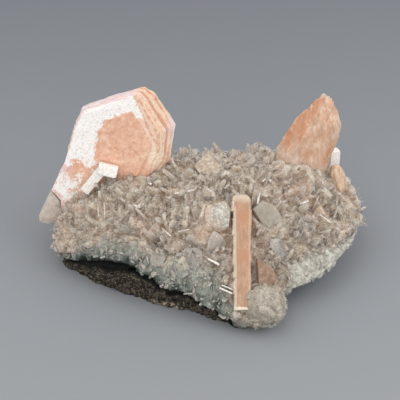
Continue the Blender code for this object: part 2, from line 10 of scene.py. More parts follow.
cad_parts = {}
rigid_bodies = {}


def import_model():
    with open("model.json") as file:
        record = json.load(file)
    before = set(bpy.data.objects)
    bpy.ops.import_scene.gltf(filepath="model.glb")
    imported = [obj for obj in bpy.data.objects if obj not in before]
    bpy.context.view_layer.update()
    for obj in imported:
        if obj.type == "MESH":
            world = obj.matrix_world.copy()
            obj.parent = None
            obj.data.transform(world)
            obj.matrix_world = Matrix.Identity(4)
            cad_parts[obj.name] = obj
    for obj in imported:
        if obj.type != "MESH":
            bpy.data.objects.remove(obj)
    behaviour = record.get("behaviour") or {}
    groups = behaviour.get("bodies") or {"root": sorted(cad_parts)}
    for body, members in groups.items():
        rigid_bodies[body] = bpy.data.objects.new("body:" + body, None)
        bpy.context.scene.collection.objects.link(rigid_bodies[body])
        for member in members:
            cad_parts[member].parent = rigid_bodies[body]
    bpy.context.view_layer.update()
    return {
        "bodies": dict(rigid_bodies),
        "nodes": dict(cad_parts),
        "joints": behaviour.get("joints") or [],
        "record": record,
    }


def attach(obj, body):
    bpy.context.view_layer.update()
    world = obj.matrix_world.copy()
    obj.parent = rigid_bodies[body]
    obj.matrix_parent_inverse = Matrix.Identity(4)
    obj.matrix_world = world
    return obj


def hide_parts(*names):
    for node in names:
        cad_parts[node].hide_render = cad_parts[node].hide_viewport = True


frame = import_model()

# Lengths below are millimetres; MM turns them into metres where a mesh is made.
MM = 0.001

# The rock's widest line, its foot on the ground, its crest and its seams, as in the solids.
RIM = [
    (-47.5, -3.0, 9.5), (-44.5, -9.5, 5.0), (-34.5, -18.0, 8.5), (-25.0, -23.0, 10.5), (-15.5, -28.3, 10.5),
    (-6.0, -32.0, 9.0), (3.0, -35.6, 6.5), (10.0, -39.5, 4.5), (16.0, -42.2, 4.5), (22.0, -41.0, 5.5),
    (25.5, -36.0, 6.5), (26.5, -29.5, 7.5), (31.5, -27.0, 8.5), (38.5, -22.5, 9.0), (44.5, -16.0, 10.0),
    (49.0, -8.5, 11.0), (51.8, 0.0, 13.0), (50.8, 7.5, 16.0), (47.5, 13.5, 18.5), (41.0, 17.5, 19.5),
    (30.0, 21.0, 21.0), (15.0, 22.0, 21.5), (0.0, 21.0, 21.5), (-12.0, 19.5, 20.5), (-24.0, 18.0, 18.5),
    (-35.5, 14.5, 15.5), (-44.0, 7.5, 11.0),
]
FOOT = [
    (-43.0, -4.0), (-42.5, -9.5), (-32.0, -18.0), (-15.7, -26.8), (-4.7, -31.0), (3.0, -34.0), (12.0, -38.0),
    (18.0, -37.0), (24.0, -29.0), (30.0, -15.0), (34.0, 0.0), (30.0, 12.0), (10.0, 18.0), (-15.0, 17.5),
    (-32.0, 12.0), (-41.0, 4.0),
]
CREST = (4.0, 4.0, 26.8)
FOOT_MIDDLE = (2.0, -6.0)
ROCK_HEART = (2.0, -6.0, 5.0)
BASALT_TOP = 10.0
BAND_START = (-42.0, -11.0)
BAND_ALONG = (0.875, -0.484)
BAND_INWARD = (0.484, 0.875)
BAND_MIDDLE = 32.0
BAND_HALF = 26.0
CRYSTAL_SPACING = 6.0
CRYSTAL_SHIFT = 1.7

# The large tabular stilbite in the plane of its plates.
LARGE_AT = (-28.0, 5.0, 22.0)
LARGE_LEAN = 16.0
LARGE_YAW = -6.0
LARGE_MIDDLE = (1.0, 14.0)
LARGE_REAR = [
    (-16.7, -12.0), (-16.9, -6.0), (-20.0, -2.4), (-17.6, 3.6), (-16.0, 7.2), (-13.2, 18.6), (-10.5, 25.7),
    (7.6, 33.0), (9.9, 33.5), (13.2, 31.3), (15.2, 28.1), (19.6, 21.2), (19.1, 15.3), (17.9, 8.6),
    (10.5, -0.5), (-6.0, -6.0),
]
LARGE_FRONT = [
    (-16.5, -11.6), (-16.7, -5.8), (-19.8, -2.4), (-16.9, 3.6), (-15.3, 7.2), (-12.5, 18.4), (-9.9, 24.9),
    (6.4, 31.4), (7.4, 31.6), (8.8, 29.0), (10.2, 26.1), (14.6, 19.0), (14.8, 13.5), (12.8, 7.5),
    (8.8, 0.6), (-5.4, -5.0),
]
LARGE_FACE = [(6.1, 26.0), (-2.8, 22.5), (-5.8, 9.6), (-3.5, 6.2), (1.6, 4.6), (8.1, 4.4), (12.2, 13.8)]
LARGE_PLATES = 9
LARGE_DEPTH = 4.6
LARGE_FRONT_DEPTH = 1.4
FACE_RISE = 0.5
FACE_STEPS = 6
CLEAR_TIP = [(-20.2, -2.7), (-17.2, -6.3), (-17.1, -12.4), (-20.8, -14.6), (-23.8, -14.1), (-24.1, -11.9)]

# The pointed stilbite's silhouette and ridge, across, up and out of its plane.
POINTED_AT = (32.0, 11.0, 25.0)
POINTED_LEAN = 12.0
POINTED_FOOT = (33.0, 7.0)
POINTED_POINTS = [
    (7.2, 25.9, 0.0), (9.3, 24.6, -0.6), (1.2, 19.8, -0.4), (-1.6, 16.9, -0.5), (-8.0, 5.0, -0.5),
    (-8.0, -4.0, -0.5), (11.9, 20.1, 0.0), (13.4, 15.0, 0.0), (12.8, 11.0, 0.0), (10.4, 5.9, 0.0),
    (8.0, -4.0, 0.0), (4.6, 19.0, 3.0), (0.5, 11.5, 4.2), (-3.2, 5.0, 4.4), (-3.2, -4.0, 4.0),
    (9.3, 15.5, 3.0), (8.2, 9.0, 3.4), (5.5, -4.0, 3.6), (4.0, 18.0, -4.0), (-2.0, 8.0, -4.8),
    (-3.0, -4.0, -4.6), (8.0, 14.0, -4.0), (7.0, -4.0, -4.2),
]

BLADE_TOP = (13.2, -10.4, 30.8)
BLADE_FOOT = (13.0, -40.2, 8.9)
BLADE_WIDTH = 5.8
BLADE_DEPTH = 8.5
BLADE_STATIONS = 150

# The blocky white crystal beside the blade: its front facet and its widest outline.
WHITE_FRONT_AT = (6.9, -13.6, 25.0)
WHITE_FRONT_FACET = [(-2.9, 1.3), (1.0, 3.7), (2.7, 1.6), (2.0, -4.0), (-1.6, -0.6)]
WHITE_FRONT_GIRDLE = [
    (-6.6, 0.4), (-4.6, 2.8), (1.0, 4.4), (3.2, 1.8), (2.9, -4.6), (-1.4, -6.0), (-6.0, -4.4),
]

ROSETTE_AT = (19.8, -36.6, 7.3)
ROSETTE_RADIUS = 6.4

# The camera: 38 degrees above the table, 0.32 mm to a pixel at the middle of the specimen.
CAMERA_ELEVATION = 38.0
CAMERA_DISTANCE = 550.0
CAMERA_TARGET = (0.0, 0.0, 20.0)
PIXEL = 0.32
IMAGE_SIDE = 400
SENSOR = 36.0

# The studio, in metres and watts: the floor's reach each way, the room's light, and each lamp's name,
# place, size and power.
FLOOR_REACH = 6.0
ROOM_STRENGTH = 0.88
LAMPS = [
    ("key", (-0.45, -0.05, 0.80), 1.30, 2.6),
    ("front", (-0.10, -0.85, 0.50), 0.80, 1.7),
    ("right", (0.70, -0.10, 0.55), 0.80, 2.6),
]


def srgb(colour):
    """A display colour from 0 to 255 as the linear colour that a shader takes."""
    channels = (c / 255.0 for c in colour)
    return tuple(c / 12.92 if c < 0.04045 else ((c + 0.055) / 1.055) ** 2.4 for c in channels)


class Look:
    """A procedural material whose textures are measured in the specimen's own millimetres."""

    def __init__(self, name, roughness, transmission=0.0, refraction=1.5, scatter=0.0, coat=0.0, glow=1.5):
        self.material = bpy.data.materials.new(name)
        self.material.use_nodes = True
        self.tree = self.material.node_tree
        self.shader = self.tree.nodes["Principled BSDF"]
        self.set("Roughness", roughness)
        self.set("Transmission Weight", transmission)
        self.set("IOR", refraction)
        self.set("Subsurface Weight", scatter)
        self.set("Subsurface Radius", (1.0, 1.0, 1.0))
        self.set("Subsurface Scale", glow * MM)
        self.set("Coat Weight", coat)
        self.set("Coat Roughness", 0.12)
        metres = self.node("TexCoord", {}).outputs["Object"]
        self.place = self.node("VectorMath", {0: metres, "Scale": 1.0 / MM}, operation="SCALE").outputs[0]

    def feed(self, socket, value):
        """Sets a socket to a value, or links a texture to it."""
        if isinstance(value, bpy.types.NodeSocket):
            self.tree.links.new(value, socket)
        else:
            socket.default_value = value

    def set(self, socket, value):
        """Sets a value on the shader, or links a texture to it."""
        self.feed(self.shader.inputs[socket], value)

    def node(self, kind, inputs, **settings):
        """A shader node with its settings, and with its inputs fed."""
        made = self.tree.nodes.new("ShaderNode" + kind)
        for key, value in settings.items():
            setattr(made, key, value)
        for key, value in inputs.items():
            self.feed(made.inputs[key], value)
        return made

    def stretched(self, stretch, turn=(0.0, 0.0, 0.0), place=None):
        """Coordinates that are scaled differently along each direction, then turned."""
        angles = tuple(math.radians(t) for t in turn)
        inputs = {"Vector": place or self.place, "Rotation": angles, "Scale": stretch}
        return self.node("Mapping", inputs).outputs["Vector"]

    def noise(self, size, detail=3.0, rough=0.55, place=None):
        """Soft noise from 0 to 1 whose patches are about this size."""
        inputs = {"Vector": place or self.place, "Scale": 1.0 / size, "Detail": detail, "Roughness": rough}
        return self.node("TexNoise", inputs).outputs["Fac"]

    def cells(self, size):
        """Distance to the nearest cell middle."""
        return self.node("TexVoronoi", {"Vector": self.place, "Scale": 1.0 / size}).outputs["Distance"]

    def attribute(self, name, output="Fac"):
        """A number, or a vector, that the mesh carries at each point."""
        return self.node("Attribute", {}, attribute_name=name).outputs[output]

    def coordinate(self, axis):
        """One of the place coordinates, in millimetres."""
        return self.node("SeparateXYZ", {0: self.place}).outputs[axis]

    def maths(self, operation, first, second, third=0.0):
        """A sum on textures and numbers."""
        return self.node("Math", {0: first, 1: second, 2: third}, operation=operation).outputs[0]

    def times(self, first, second):
        """One texture or number times another."""
        return self.maths("MULTIPLY", first, second)

    def plus(self, first, second):
        """One texture or number plus another."""
        return self.maths("ADD", first, second)

    def between(self, value, low, high):
        """0 below low, 1 above high, smooth between them."""
        inputs = {"Value": value, "From Min": low, "From Max": high}
        return self.node("MapRange", inputs, interpolation_type="SMOOTHSTEP").outputs["Result"]

    def ramp(self, value, stops, linear=False):
        """Colours from a list of (position, colour), which are display colours unless said to be linear."""
        node = self.node("ValToRGB", {"Fac": value})
        elements = node.color_ramp.elements
        while len(elements) < len(stops):
            elements.new(0.5)
        for element, (position, colour) in zip(elements, stops):
            element.position = position
            element.color = (*(colour if linear else srgb(colour)), 1.0)
        return node.outputs["Color"]

    def mix(self, factor, first, second, how="MIX"):
        """One colour laid over another; a colour is a texture or a display colour."""
        first, second = ((*srgb(c), 1.0) if isinstance(c, tuple) else c for c in (first, second))
        node = self.node("Mix", {0: factor, 6: first, 7: second}, data_type="RGBA", blend_type=how)
        return node.outputs[2]

    def flecks(self, under, colour, texture, low, high, amount):
        """A colour with flecks of another on it, where noise of a size, detail and roughness runs high."""
        factor = self.times(self.between(self.noise(*texture), low, high), amount)
        return self.mix(factor, under, colour)

    def bump(self, height, depth):
        """Relief from a texture, with its depth in millimetres."""
        self.set("Normal", self.node("Bump", {"Height": height, "Distance": depth * MM}).outputs["Normal"])

    def absorb(self, colour, density):
        """Colour taken from the light on its way through a clear crystal."""
        node = self.node("VolumeAbsorption", {"Color": (*srgb(colour), 1.0), "Density": density})
        self.feed(self.tree.nodes["Material Output"].inputs["Volume"], node.outputs["Volume"])


def add_object(name, data):
    """A new object in the scene."""
    made = bpy.data.objects.new(name, data)
    bpy.context.scene.collection.objects.link(made)
    return made


def shape_object(name, shape):
    """A new object from a bmesh, which is freed."""
    mesh = bpy.data.meshes.new(name)
    shape.to_mesh(mesh)
    shape.free()
    return add_object(name, mesh)


def mesh_piece(name, points, faces, attributes=None, smooth=False):
    """A mesh object from points in millimetres, with numbers carried at its points."""
    mesh = bpy.data.meshes.new(name)
    mesh.from_pydata((np.asarray(points, float) * MM).tolist(), [], faces)
    for key, values in (attributes or {}).items():
        values = np.asarray(values, np.float32)
        kind, field = ("FLOAT_VECTOR", "vector") if values.ndim == 2 else ("FLOAT", "value")
        mesh.attributes.new(key, kind, "POINT").data.foreach_set(field, values.ravel())
    mesh.polygons.foreach_set("use_smooth", [smooth] * len(mesh.polygons))
    return add_object(name, mesh)


def turn_outwards(piece):
    """Turns every face of a closed mesh outwards."""
    shape = bmesh.new()
    shape.from_mesh(piece.data)
    bmesh.ops.recalc_face_normals(shape, faces=shape.faces)
    shape.to_mesh(piece.data)
    shape.free()


def dress(piece, look, slot, *nodes):
    """Gives a piece its material and its place on the body, in place of the named solids; the slot is not
    used.
    """
    piece.data.materials.clear()
    piece.data.materials.append(look.material)
    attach(piece, "root")
    if nodes:
        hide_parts(*nodes)


def apply_modifiers(piece):
    """Turns what the modifiers make into the piece's own mesh."""
    seen = piece.evaluated_get(bpy.context.evaluated_depsgraph_get())
    mesh = bpy.data.meshes.new_from_object(seen)
    piece.modifiers.clear()
    piece.data = mesh


def catmull(points, per_span):
    """Points on a closed smooth curve through the given ones."""
    given = np.array(points, float)
    count = len(given)
    result = []
    for i in range(count):
        before, here, after, later = (given[(i + k) % count] for k in (-1, 0, 1, 2))
        for step in range(per_span):
            t = step / per_span
            result.append(
                0.5 * (2 * here + (after - before) * t + (2 * before - 5 * here + 4 * after - later) * t**2
                       + (3 * here - before - 3 * after + later) * t**3)
            )
    return np.array(result)


def around(points, middle, angles):
    """A closed outline read at given angles round a middle: distance, and height where there is one."""
    smooth = catmull(points, 12)
    turn = np.arctan2(smooth[:, 1] - middle[1], smooth[:, 0] - middle[0])
    away = np.hypot(smooth[:, 0] - middle[0], smooth[:, 1] - middle[1])
    order = np.argsort(turn)
    radius = np.interp(angles, turn[order], away[order], period=2 * math.pi)
    if smooth.shape[1] == 2:
        return radius, None
    return radius, np.interp(angles, turn[order], smooth[order, 2], period=2 * math.pi)


def lumps(points, size, seed):
    """Smooth natural unevenness between about -1 and 1 at each point."""
    shifted = np.asarray(points, float) / size + np.array((seed, -seed, 2 * seed))
    return np.array([noise.noise(Vector(p)) for p in shifted.tolist()])


def unit(vectors):
    """Vectors of length one."""
    return vectors / (np.linalg.norm(vectors, axis=1, keepdims=True) + 1e-9)


def cell_numbers(cells, seed, count):
    """Numbers from 0 to 1 that belong to each cell of a grid."""
    mixed = cells[:, 0] * 73856093 ^ cells[:, 1] * 19349663 ^ cells[:, 2] * 83492791 ^ seed * 39916801
    numbers = []
    for _ in range(count):
        mixed = mixed * 6364136223846793005 + 1442695040888963407
        numbers.append(((mixed >> 33) & 0xFFFFFF) / 0xFFFFFF)
    return np.stack(numbers, 1)


def blocks(points, out, size, shape, seed):
    """Height over each point of flat-faced crystals that lie every way, and what the highest one carries.

    Each cell of a grid holds one box, turned by chance. The height is where a line outwards from the point
    leaves the box.
    """
    cells = np.floor(points / size).astype(np.int64)
    height = np.full(len(points), -0.4)
    tone, rim = np.full(len(points), 0.3), np.zeros(len(points))
    grain = points.copy()
    for shift in ((a, b, c) for a in (-1, 0, 1) for b in (-1, 0, 1) for c in (-1, 0, 1)):
        near = cells + np.array(shift)
        draw = cell_numbers(near, seed, 11)
        away = points - (near + draw[:, :3]) * size
        first = unit(draw[:, 3:6] - 0.5)
        second = unit(np.cross(first, draw[:, 6:9] - 0.5))
        frame = np.stack((first, second, np.cross(first, second)), 1)
        at = np.einsum("nkj,nj->nk", frame, away)
        slope = np.einsum("nkj,nj->nk", frame, out)
        slope = np.where(np.abs(slope) < 0.001, 0.001, slope)
        half = size * np.array(shape) * (0.6 + 0.7 * draw[:, 9:10])
        leave = np.min((half * np.sign(slope) - at) / slope, axis=1)
        enter = np.max((-half * np.sign(slope) - at) / slope, axis=1)
        better = (enter < leave) & (enter < 0.2) & (leave > height)
        own = at + slope * leave[:, None]
        from_edge = np.partition(half - np.abs(own), 1, axis=1)[:, 1]
        height = np.where(better, leave, height)
        tone = np.where(better, draw[:, 10], tone)
        # How near each point lies to the edge of the highest crystal, for the painted rim highlights.
        rim = np.where(better, 1.0 - np.clip(from_edge / 0.5, 0.0, 1.0), rim)
        own = np.stack((own[:, 1] + own[:, 2], own[:, 0], 40.0 * draw[:, 10]), 1)
        grain = np.where(better[:, None], own, grain)
    return np.minimum(height, 0.45 * size), {"tone": tone, "rim": rim, "grain": grain}


def intergrown(points, out, layers):
    """The highest of several layers of crystals over each point, from (size, shape, lift, seed)."""
    height, numbers = blocks(points, out, *layers[0][:2], layers[0][3])
    height = height + layers[0][2]
    for size, shape, lift, seed in layers[1:]:
        here, own = blocks(points, out, size, shape, seed)
        better = here + lift > height
        height = np.where(better, here + lift, height)
        numbers = {
            key: np.where(better[:, None] if value.ndim == 2 else better, own[key], value)
            for key, value in numbers.items()
        }
    return height, numbers


def bump_at(x, y, middle, reach):
    """A soft round hump, 1 at its middle."""
    return np.exp(-((x - middle[0]) ** 2 + (y - middle[1]) ** 2) / (2.0 * reach * reach))


def basalt_top(x, y):
    """Height of the seam between basalt and chalcedony."""
    right = np.clip((x - 10.0) / 25.0, 0.0, 1.0)
    height = BASALT_TOP - 2.5 * right * right * (3.0 - 2.0 * right)
    height = height - 6.0 * bump_at(x, y, (14.0, -42.0), 10.0)
    height = height - 7.5 * bump_at(x, y, (-47.0, -3.0), 10.0)
    height = height - 14.0 * bump_at(x, y, (22.0, -38.0), 6.0)
    height = height + 2.4 * bump_at(x, y, (-24.0, -22.0), 7.0)
    return height - 1.6 * bump_at(x, y, (1.0, -35.0), 6.0)


def chalcedony_top(x, y):
    """Height of the seam between chalcedony and the crust of crystals."""
    dx = x - BAND_START[0]
    dy = y - BAND_START[1]
    along = dx * BAND_ALONG[0] + dy * BAND_ALONG[1]
    inward = dx * BAND_INWARD[0] + dy * BAND_INWARD[1]
    band = np.exp(-(((along - BAND_MIDDLE) / BAND_HALF) ** 4) - (inward / 22.0) ** 2)
    height = basalt_top(x, y) + 2.2 + 4.4 * band
    return height + 2.8 * bump_at(x, y, (40.0, -18.0), 11.0)


EVEN_ANGLES = np.linspace(-math.pi, math.pi, 64, endpoint=False)
EVEN_RADIUS, EVEN_HEIGHT = around(RIM, CREST, EVEN_ANGLES)


def top_part(x, y):
    """How far out a place in plan is, from 0 at the crest to 1 at the rim, and its direction."""
    angle = np.arctan2(y - CREST[1], x - CREST[0])
    edge = np.interp(angle, EVEN_ANGLES, EVEN_RADIUS, period=2 * math.pi)
    return np.hypot(x - CREST[0], y - CREST[1]) / edge, angle


def top_height(x, y):
    """Height of the crust's smooth upper surface over a place in plan."""
    part, angle = top_part(x, y)
    low = np.interp(angle, EVEN_ANGLES, EVEN_HEIGHT, period=2 * math.pi)
    power = 3.2 + 1.6 * np.sin(angle) - 1.1 * np.cos(angle)
    return low + (CREST[2] - low) * (1.0 - np.minimum(part, 1.0) ** power)


def rock_grid(segments, wall_rings, top_rings):
    """The rock's smooth skin as rings of points from the foot over the crest, and its outward directions."""
    angles = np.linspace(-math.pi, math.pi, segments, endpoint=False)
    rim_radius, rim_height = around(RIM, CREST, angles)
    foot_radius, _ = around(FOOT, FOOT_MIDDLE, angles)
    ray = np.stack((np.cos(angles), np.sin(angles)), 1)
    foot = np.array(FOOT_MIDDLE) + foot_radius[:, None] * ray
    rim = np.array(CREST[:2]) + rim_radius[:, None] * ray
    rings = []
    for k in range(wall_rings + 1):
        part = k / wall_rings
        flat = foot + (rim - foot) * part**1.6
        rings.append(np.column_stack((flat, rim_height * part**0.7)))
    for k in range(1, top_rings):
        flat = np.array(CREST[:2]) + (rim - np.array(CREST[:2])) * (1.0 - k / top_rings)
        rings.append(np.column_stack((flat, top_height(flat[:, 0], flat[:, 1]))))
    grid = np.array(rings)
    along = np.roll(grid, -1, axis=1) - np.roll(grid, 1, axis=1)
    upward = np.gradient(grid, axis=0)
    out = np.cross(along, upward)
    out /= np.linalg.norm(out, axis=2, keepdims=True) + 1e-9
    return grid, out


def grid_faces(rings, count):
    """Faces of a closed stack of rings, with one flat face at either end."""
    faces = [tuple(range(count - 1, -1, -1))]
    for k in range(rings - 1):
        for i in range(count):
            j = (i + 1) % count
            faces.append((k * count + i, k * count + j, (k + 1) * count + j, (k + 1) * count + i))
    top = (rings - 1) * count
    faces.append(tuple(range(top, top + count)))
    return faces


def rock_shell(name, rings, zone, fine, lowest=0.5, smooth=False):
    """One layer of the rock: its zone lies at the surface and the rest is drawn in under the others.

    Rings are its segments round, its rings up the wall and its rings over the top.
    """
    grid, out = rock_grid(*rings)
    segments = rings[0]
    points = grid.reshape(-1, 3)
    out = out.reshape(-1, 3)
    rough = 1.2 * lumps(points, 9.0, 3.7) + 1.2 * lumps(points, 2.9, 8.1)
    beyond = zone(points + 0.25 * rough[:, None])
    height, numbers = fine(points, out)
    offset = rough + height - np.where(beyond > 0.0, 0.5, 0.0)
    drawn_in = 0.35 * smoothstep(beyond, 0.0, 4.0)
    moved = points + out * offset[:, None] + (np.array(ROCK_HEART) - points) * drawn_in[:, None]
    moved[:, 2] = np.maximum(moved[:, 2], lowest)
    moved[:segments, 2] = lowest
    numbers["depth"] = -beyond
    numbers["rise"] = points[:, 2] - basalt_top(points[:, 0], points[:, 1])
    numbers["warm"] = warmth(points)
    piece = mesh_piece(name, moved, grid_faces(len(grid), segments), numbers, smooth)
    return piece, moved, out, beyond <= 0.0


def seam_wave(points):
    """The seams wander a little up and down."""
    return 1.1 * lumps(points * (1.0, 1.0, 0.4), 6.0, 5.3) + 0.6 * lumps(points, 1.8, 2.2)


def beyond_basalt(points):
    """How far above the basalt a point lies."""
    return points[:, 2] - basalt_top(points[:, 0], points[:, 1]) - seam_wave(points)


def beyond_chalcedony(points):
    """How far above or below the chalcedony layer a point lies."""
    wave = seam_wave(points)
    below = basalt_top(points[:, 0], points[:, 1]) + wave - points[:, 2]
    above = points[:, 2] - chalcedony_top(points[:, 0], points[:, 1]) - wave
    return np.maximum(below, above)


def beyond_crust(points):
    """How far below the crust of crystals a point lies."""
    return chalcedony_top(points[:, 0], points[:, 1]) + seam_wave(points) - points[:, 2]


class Plane:
    """A crystal's own frame: across, up and out of its main face, at a place in the specimen."""

    def __init__(self, at, lean, yaw=0.0, roll=0.0):
        lean, yaw, roll = (math.radians(v) for v in (lean, yaw, roll))
        self.at = np.array(at, float)
        self.out = np.array(
            (math.sin(yaw) * math.cos(lean), -math.cos(yaw) * math.cos(lean), math.sin(lean))
        )
        across = np.array((math.cos(yaw), math.sin(yaw), 0.0))
        up = np.cross(self.out, across)
        self.across = across * math.cos(roll) + up * math.sin(roll)
        self.up = up * math.cos(roll) - across * math.sin(roll)

    def place(self, points):
        """Points across, up and out, as places in the specimen."""
        points = np.atleast_2d(np.asarray(points, float))
        return self.at + points[:, :1] * self.across + points[:, 1:2] * self.up + points[:, 2:3] * self.out

    def local(self, places):
        """Places in the specimen, as points across, up and out."""
        offset = np.atleast_2d(places) - self.at
        return np.stack((offset @ self.across, offset @ self.up, offset @ self.out), 1)


LARGE_PLANE = Plane(LARGE_AT, LARGE_LEAN, LARGE_YAW)
POINTED_PLANE = Plane(POINTED_AT, POINTED_LEAN)


def inside(polygon, points):
    """Whether each flat point lies within a polygon."""
    x, y = points[:, 0], points[:, 1]
    result = np.zeros(len(points), bool)
    for (x0, y0), (x1, y1) in zip(polygon, polygon[1:] + polygon[:1]):
        crosses = (y0 > y) != (y1 > y)
        with np.errstate(divide="ignore", invalid="ignore"):
            at = x0 + (y - y0) * (x1 - x0) / (y1 - y0)
        result ^= crosses & (x < at)
    return result


def edge_distance(polygon, points):
    """Distance from each flat point to a polygon's nearest edge."""
    points = np.asarray(points, float)
    best = np.full(len(points), 1e9)
    for first, second in zip(polygon, polygon[1:] + polygon[:1]):
        a, b = np.array(first, float), np.array(second, float)
        along = b - a
        t = np.clip(((points - a) @ along) / (along @ along), 0.0, 1.0)
        best = np.minimum(best, np.linalg.norm(points - a - t[:, None] * along, axis=1))
    return best


def polygon_radius(polygon, middle, angles):
    """Distance from a middle to a polygon's edge in each direction."""
    ray = np.stack((np.cos(angles), np.sin(angles)), 1)
    reach = np.zeros(len(angles))
    centre = np.array(middle, float)
    for first, second in zip(polygon, polygon[1:] + polygon[:1]):
        a = np.array(first, float) - centre
        along = np.array(second, float) - np.array(first, float)
        cross = ray[:, 0] * along[1] - ray[:, 1] * along[0]
        with np.errstate(divide="ignore", invalid="ignore"):
            away = (a[0] * along[1] - a[1] * along[0]) / cross
            part = (a[0] * ray[:, 1] - a[1] * ray[:, 0]) / cross
        hit = (part >= -1e-6) & (part <= 1.0 + 1e-6) & (away > 0.0)
        reach = np.where(hit, np.maximum(reach, away), reach)
    return reach


def hull_piece(name, points, bevel=0.15):
    """The convex crystal round points in millimetres, with its edges slightly broken."""
    shape = bmesh.new()
    for p in points:
        shape.verts.new([float(v) * MM for v in p])
    made = bmesh.ops.convex_hull(shape, input=shape.verts)
    inner = [v for v in made["geom_interior"] if isinstance(v, bmesh.types.BMVert)]
    bmesh.ops.delete(shape, geom=inner, context="VERTS")
    bmesh.ops.dissolve_limit(shape, angle_limit=0.002, verts=shape.verts, edges=shape.edges)
    bmesh.ops.recalc_face_normals(shape, faces=shape.faces)
    piece = shape_object(name, shape)
    if bevel:
        soften = piece.modifiers.new("soften", "BEVEL")
        soften.width = bevel * MM
        soften.segments = 2
        soften.limit_method = "ANGLE"
        soften.angle_limit = math.radians(20.0)
        apply_modifiers(piece)
    return piece


def worked_piece(name, points, plane, voxel, relief):
    """A crystal with fine relief: its solid is given an even skin, then each point is moved in or out."""
    piece = hull_piece(name, points, bevel=0.0)
    skin = piece.modifiers.new("skin", "REMESH")
    skin.mode = "VOXEL"
    skin.voxel_size = voxel * MM
    apply_modifiers(piece)
    mesh = piece.data
    places = np.empty(len(mesh.vertices) * 3)
    normals = np.empty(len(mesh.vertices) * 3)
    mesh.vertices.foreach_get("co", places)
    mesh.vertices.foreach_get("normal", normals)
    places = places.reshape(-1, 3) / MM
    local = plane.local(places)
    places += normals.reshape(-1, 3) * relief(local)[:, None]
    mesh.vertices.foreach_set("co", (places * MM).ravel())
    mesh.polygons.foreach_set("use_smooth", [True] * len(mesh.polygons))
    mesh.update()
    return piece, local


def carry(piece, **values):
    """Stores numbers at the piece's points for its material."""
    for key, value in values.items():
        made = piece.data.attributes.new(key, "FLOAT", "POINT")
        made.data.foreach_set("value", np.asarray(value, np.float32))


def smoothstep(value, low, high):
    """0 below low, 1 above high, smooth between them."""
    part = np.clip((value - low) / (high - low), 0.0, 1.0)
    return part * part * (3.0 - 2.0 * part)


# Small crystals of the crust: four points at the foot, four at the shoulder and two at the tip, and how
# much of their length lies below and above their place.
LATH_SIDES = [(2, 3, 0, 1), (0, 4, 5, 1), (1, 5, 6, 2), (2, 6, 7, 3), (3, 7, 4, 0)]
ROOF_FACES = [(5, 9, 8, 6), (7, 8, 9, 4), (6, 8, 7), (4, 9, 5)]
POINT_FACES = [(4, 9, 8, 5), (6, 8, 9, 7), (5, 8, 6), (7, 9, 4)]
LATH_POINTS = 10
LATH_BELOW = 0.42
LATH_ABOVE = 0.58


def laths(places, axes, faces, sizes, tips):
    """Points, faces and grain of many flat crystals with roof-shaped, slanted or pointed ends."""
    width, thick, length = (sizes[:, k : k + 1] for k in range(3))
    axes = unit(axes)
    across = unit(np.cross(axes, faces))
    face = np.cross(across, axes)
    start = places - axes * (LATH_BELOW * length)
    end = places + axes * (LATH_ABOVE * length - 0.45 * width)
    peak = places + axes * (LATH_ABOVE * length)
    corners = []
    for base, taper in ((start, 0.75), (end, 1.0)):
        for sx, sy in ((-1, -1), (1, -1), (1, 1), (-1, 1)):
            corners.append(base + across * (0.5 * width * sx * taper) + face * (0.5 * thick * sy * taper))
    kinds = np.array(tips)[:, None]
    ridge = np.where(kinds == "point", across * (0.24 * width), face * (0.31 * thick))
    shift = np.where(kinds == "slant", across * (0.3 * width), 0.0)
    corners += [peak + shift + ridge, peak + shift - ridge]
    points = np.stack(corners, 1)
    offset = points - places[:, None]
    grain = np.stack((
        np.einsum("nij,nj->ni", offset, across) + np.einsum("nij,nj->ni", offset, face),
        np.einsum("nij,nj->ni", offset, axes),
        np.broadcast_to(np.arange(len(places))[:, None] * 3.7, (len(places), LATH_POINTS)),
    ), 2)
    made = []
    for n, tip in enumerate(tips):
        for side in LATH_SIDES + (POINT_FACES if tip == "point" else ROOF_FACES):
            made.append(tuple(LATH_POINTS * n + i for i in side))
    return points.reshape(-1, 3), made, grain.reshape(-1, 3)


def lath_numbers(places, grain, rng):
    """What the points of small crystals carry: tone, warmth, grain and how near the tip they are."""
    return {
        "tone": np.repeat(rng.random(len(places)), LATH_POINTS),
        "warm": np.repeat(warmth(places, rng), LATH_POINTS),
        "tip": np.tile(np.array([0.0] * 4 + [0.5] * 4 + [1.0] * 2), len(places)),
        "grain": grain,
    }


def crust_laths():
    """The larger crystals of the crust, in the places where the solids have them."""
    draw = random.Random(41)
    row_step = CRYSTAL_SPACING * math.sqrt(3.0) / 2.0
    places, axes, faces, sizes, tips = [], [], [], [], []
    for row in range(-9, 8):
        for column in range(-10, 11):
            x = (column + 0.5 * (row % 2)) * CRYSTAL_SPACING + draw.uniform(-1, 1) * CRYSTAL_SHIFT
            y = row * row_step - 4.0 + draw.uniform(-1, 1) * CRYSTAL_SHIFT
            spin = draw.uniform(0.0, 2 * math.pi)
            tilt = draw.uniform(0.35, 1.2)
            face = (draw.uniform(-1, 1), draw.uniform(-1, 1), draw.uniform(-0.3, 1))
            length = draw.uniform(6.5, 10.5)
            width = draw.uniform(2.8, 5.4)
            thick = draw.uniform(1.0, 2.0)
            tip = draw.choice(("roof", "slant", "point"))
            part, angle = (float(v) for v in top_part(x, y))
            z = float(top_height(x, y))
            if part > 0.98 or z < chalcedony_top(x, y) + 1.2 or taken_by_large_crystals(x, y, z):
                continue
            lean_out = 0.25 + 1.3 * part**4
            away = np.array((math.cos(angle) * lean_out, math.sin(angle) * lean_out, 1.0))
            axis = away / np.linalg.norm(away) + np.array((math.cos(spin), math.sin(spin), 0.0)) * tilt
            places.append((x, y, z - 0.2))
            axes.append(axis)
            faces.append(face)
            sizes.append((width, thick, length * (1.05 - 0.3 * part * part)))
            tips.append(tip)
    return np.array(places), np.array(axes), np.array(faces), np.array(sizes), tips


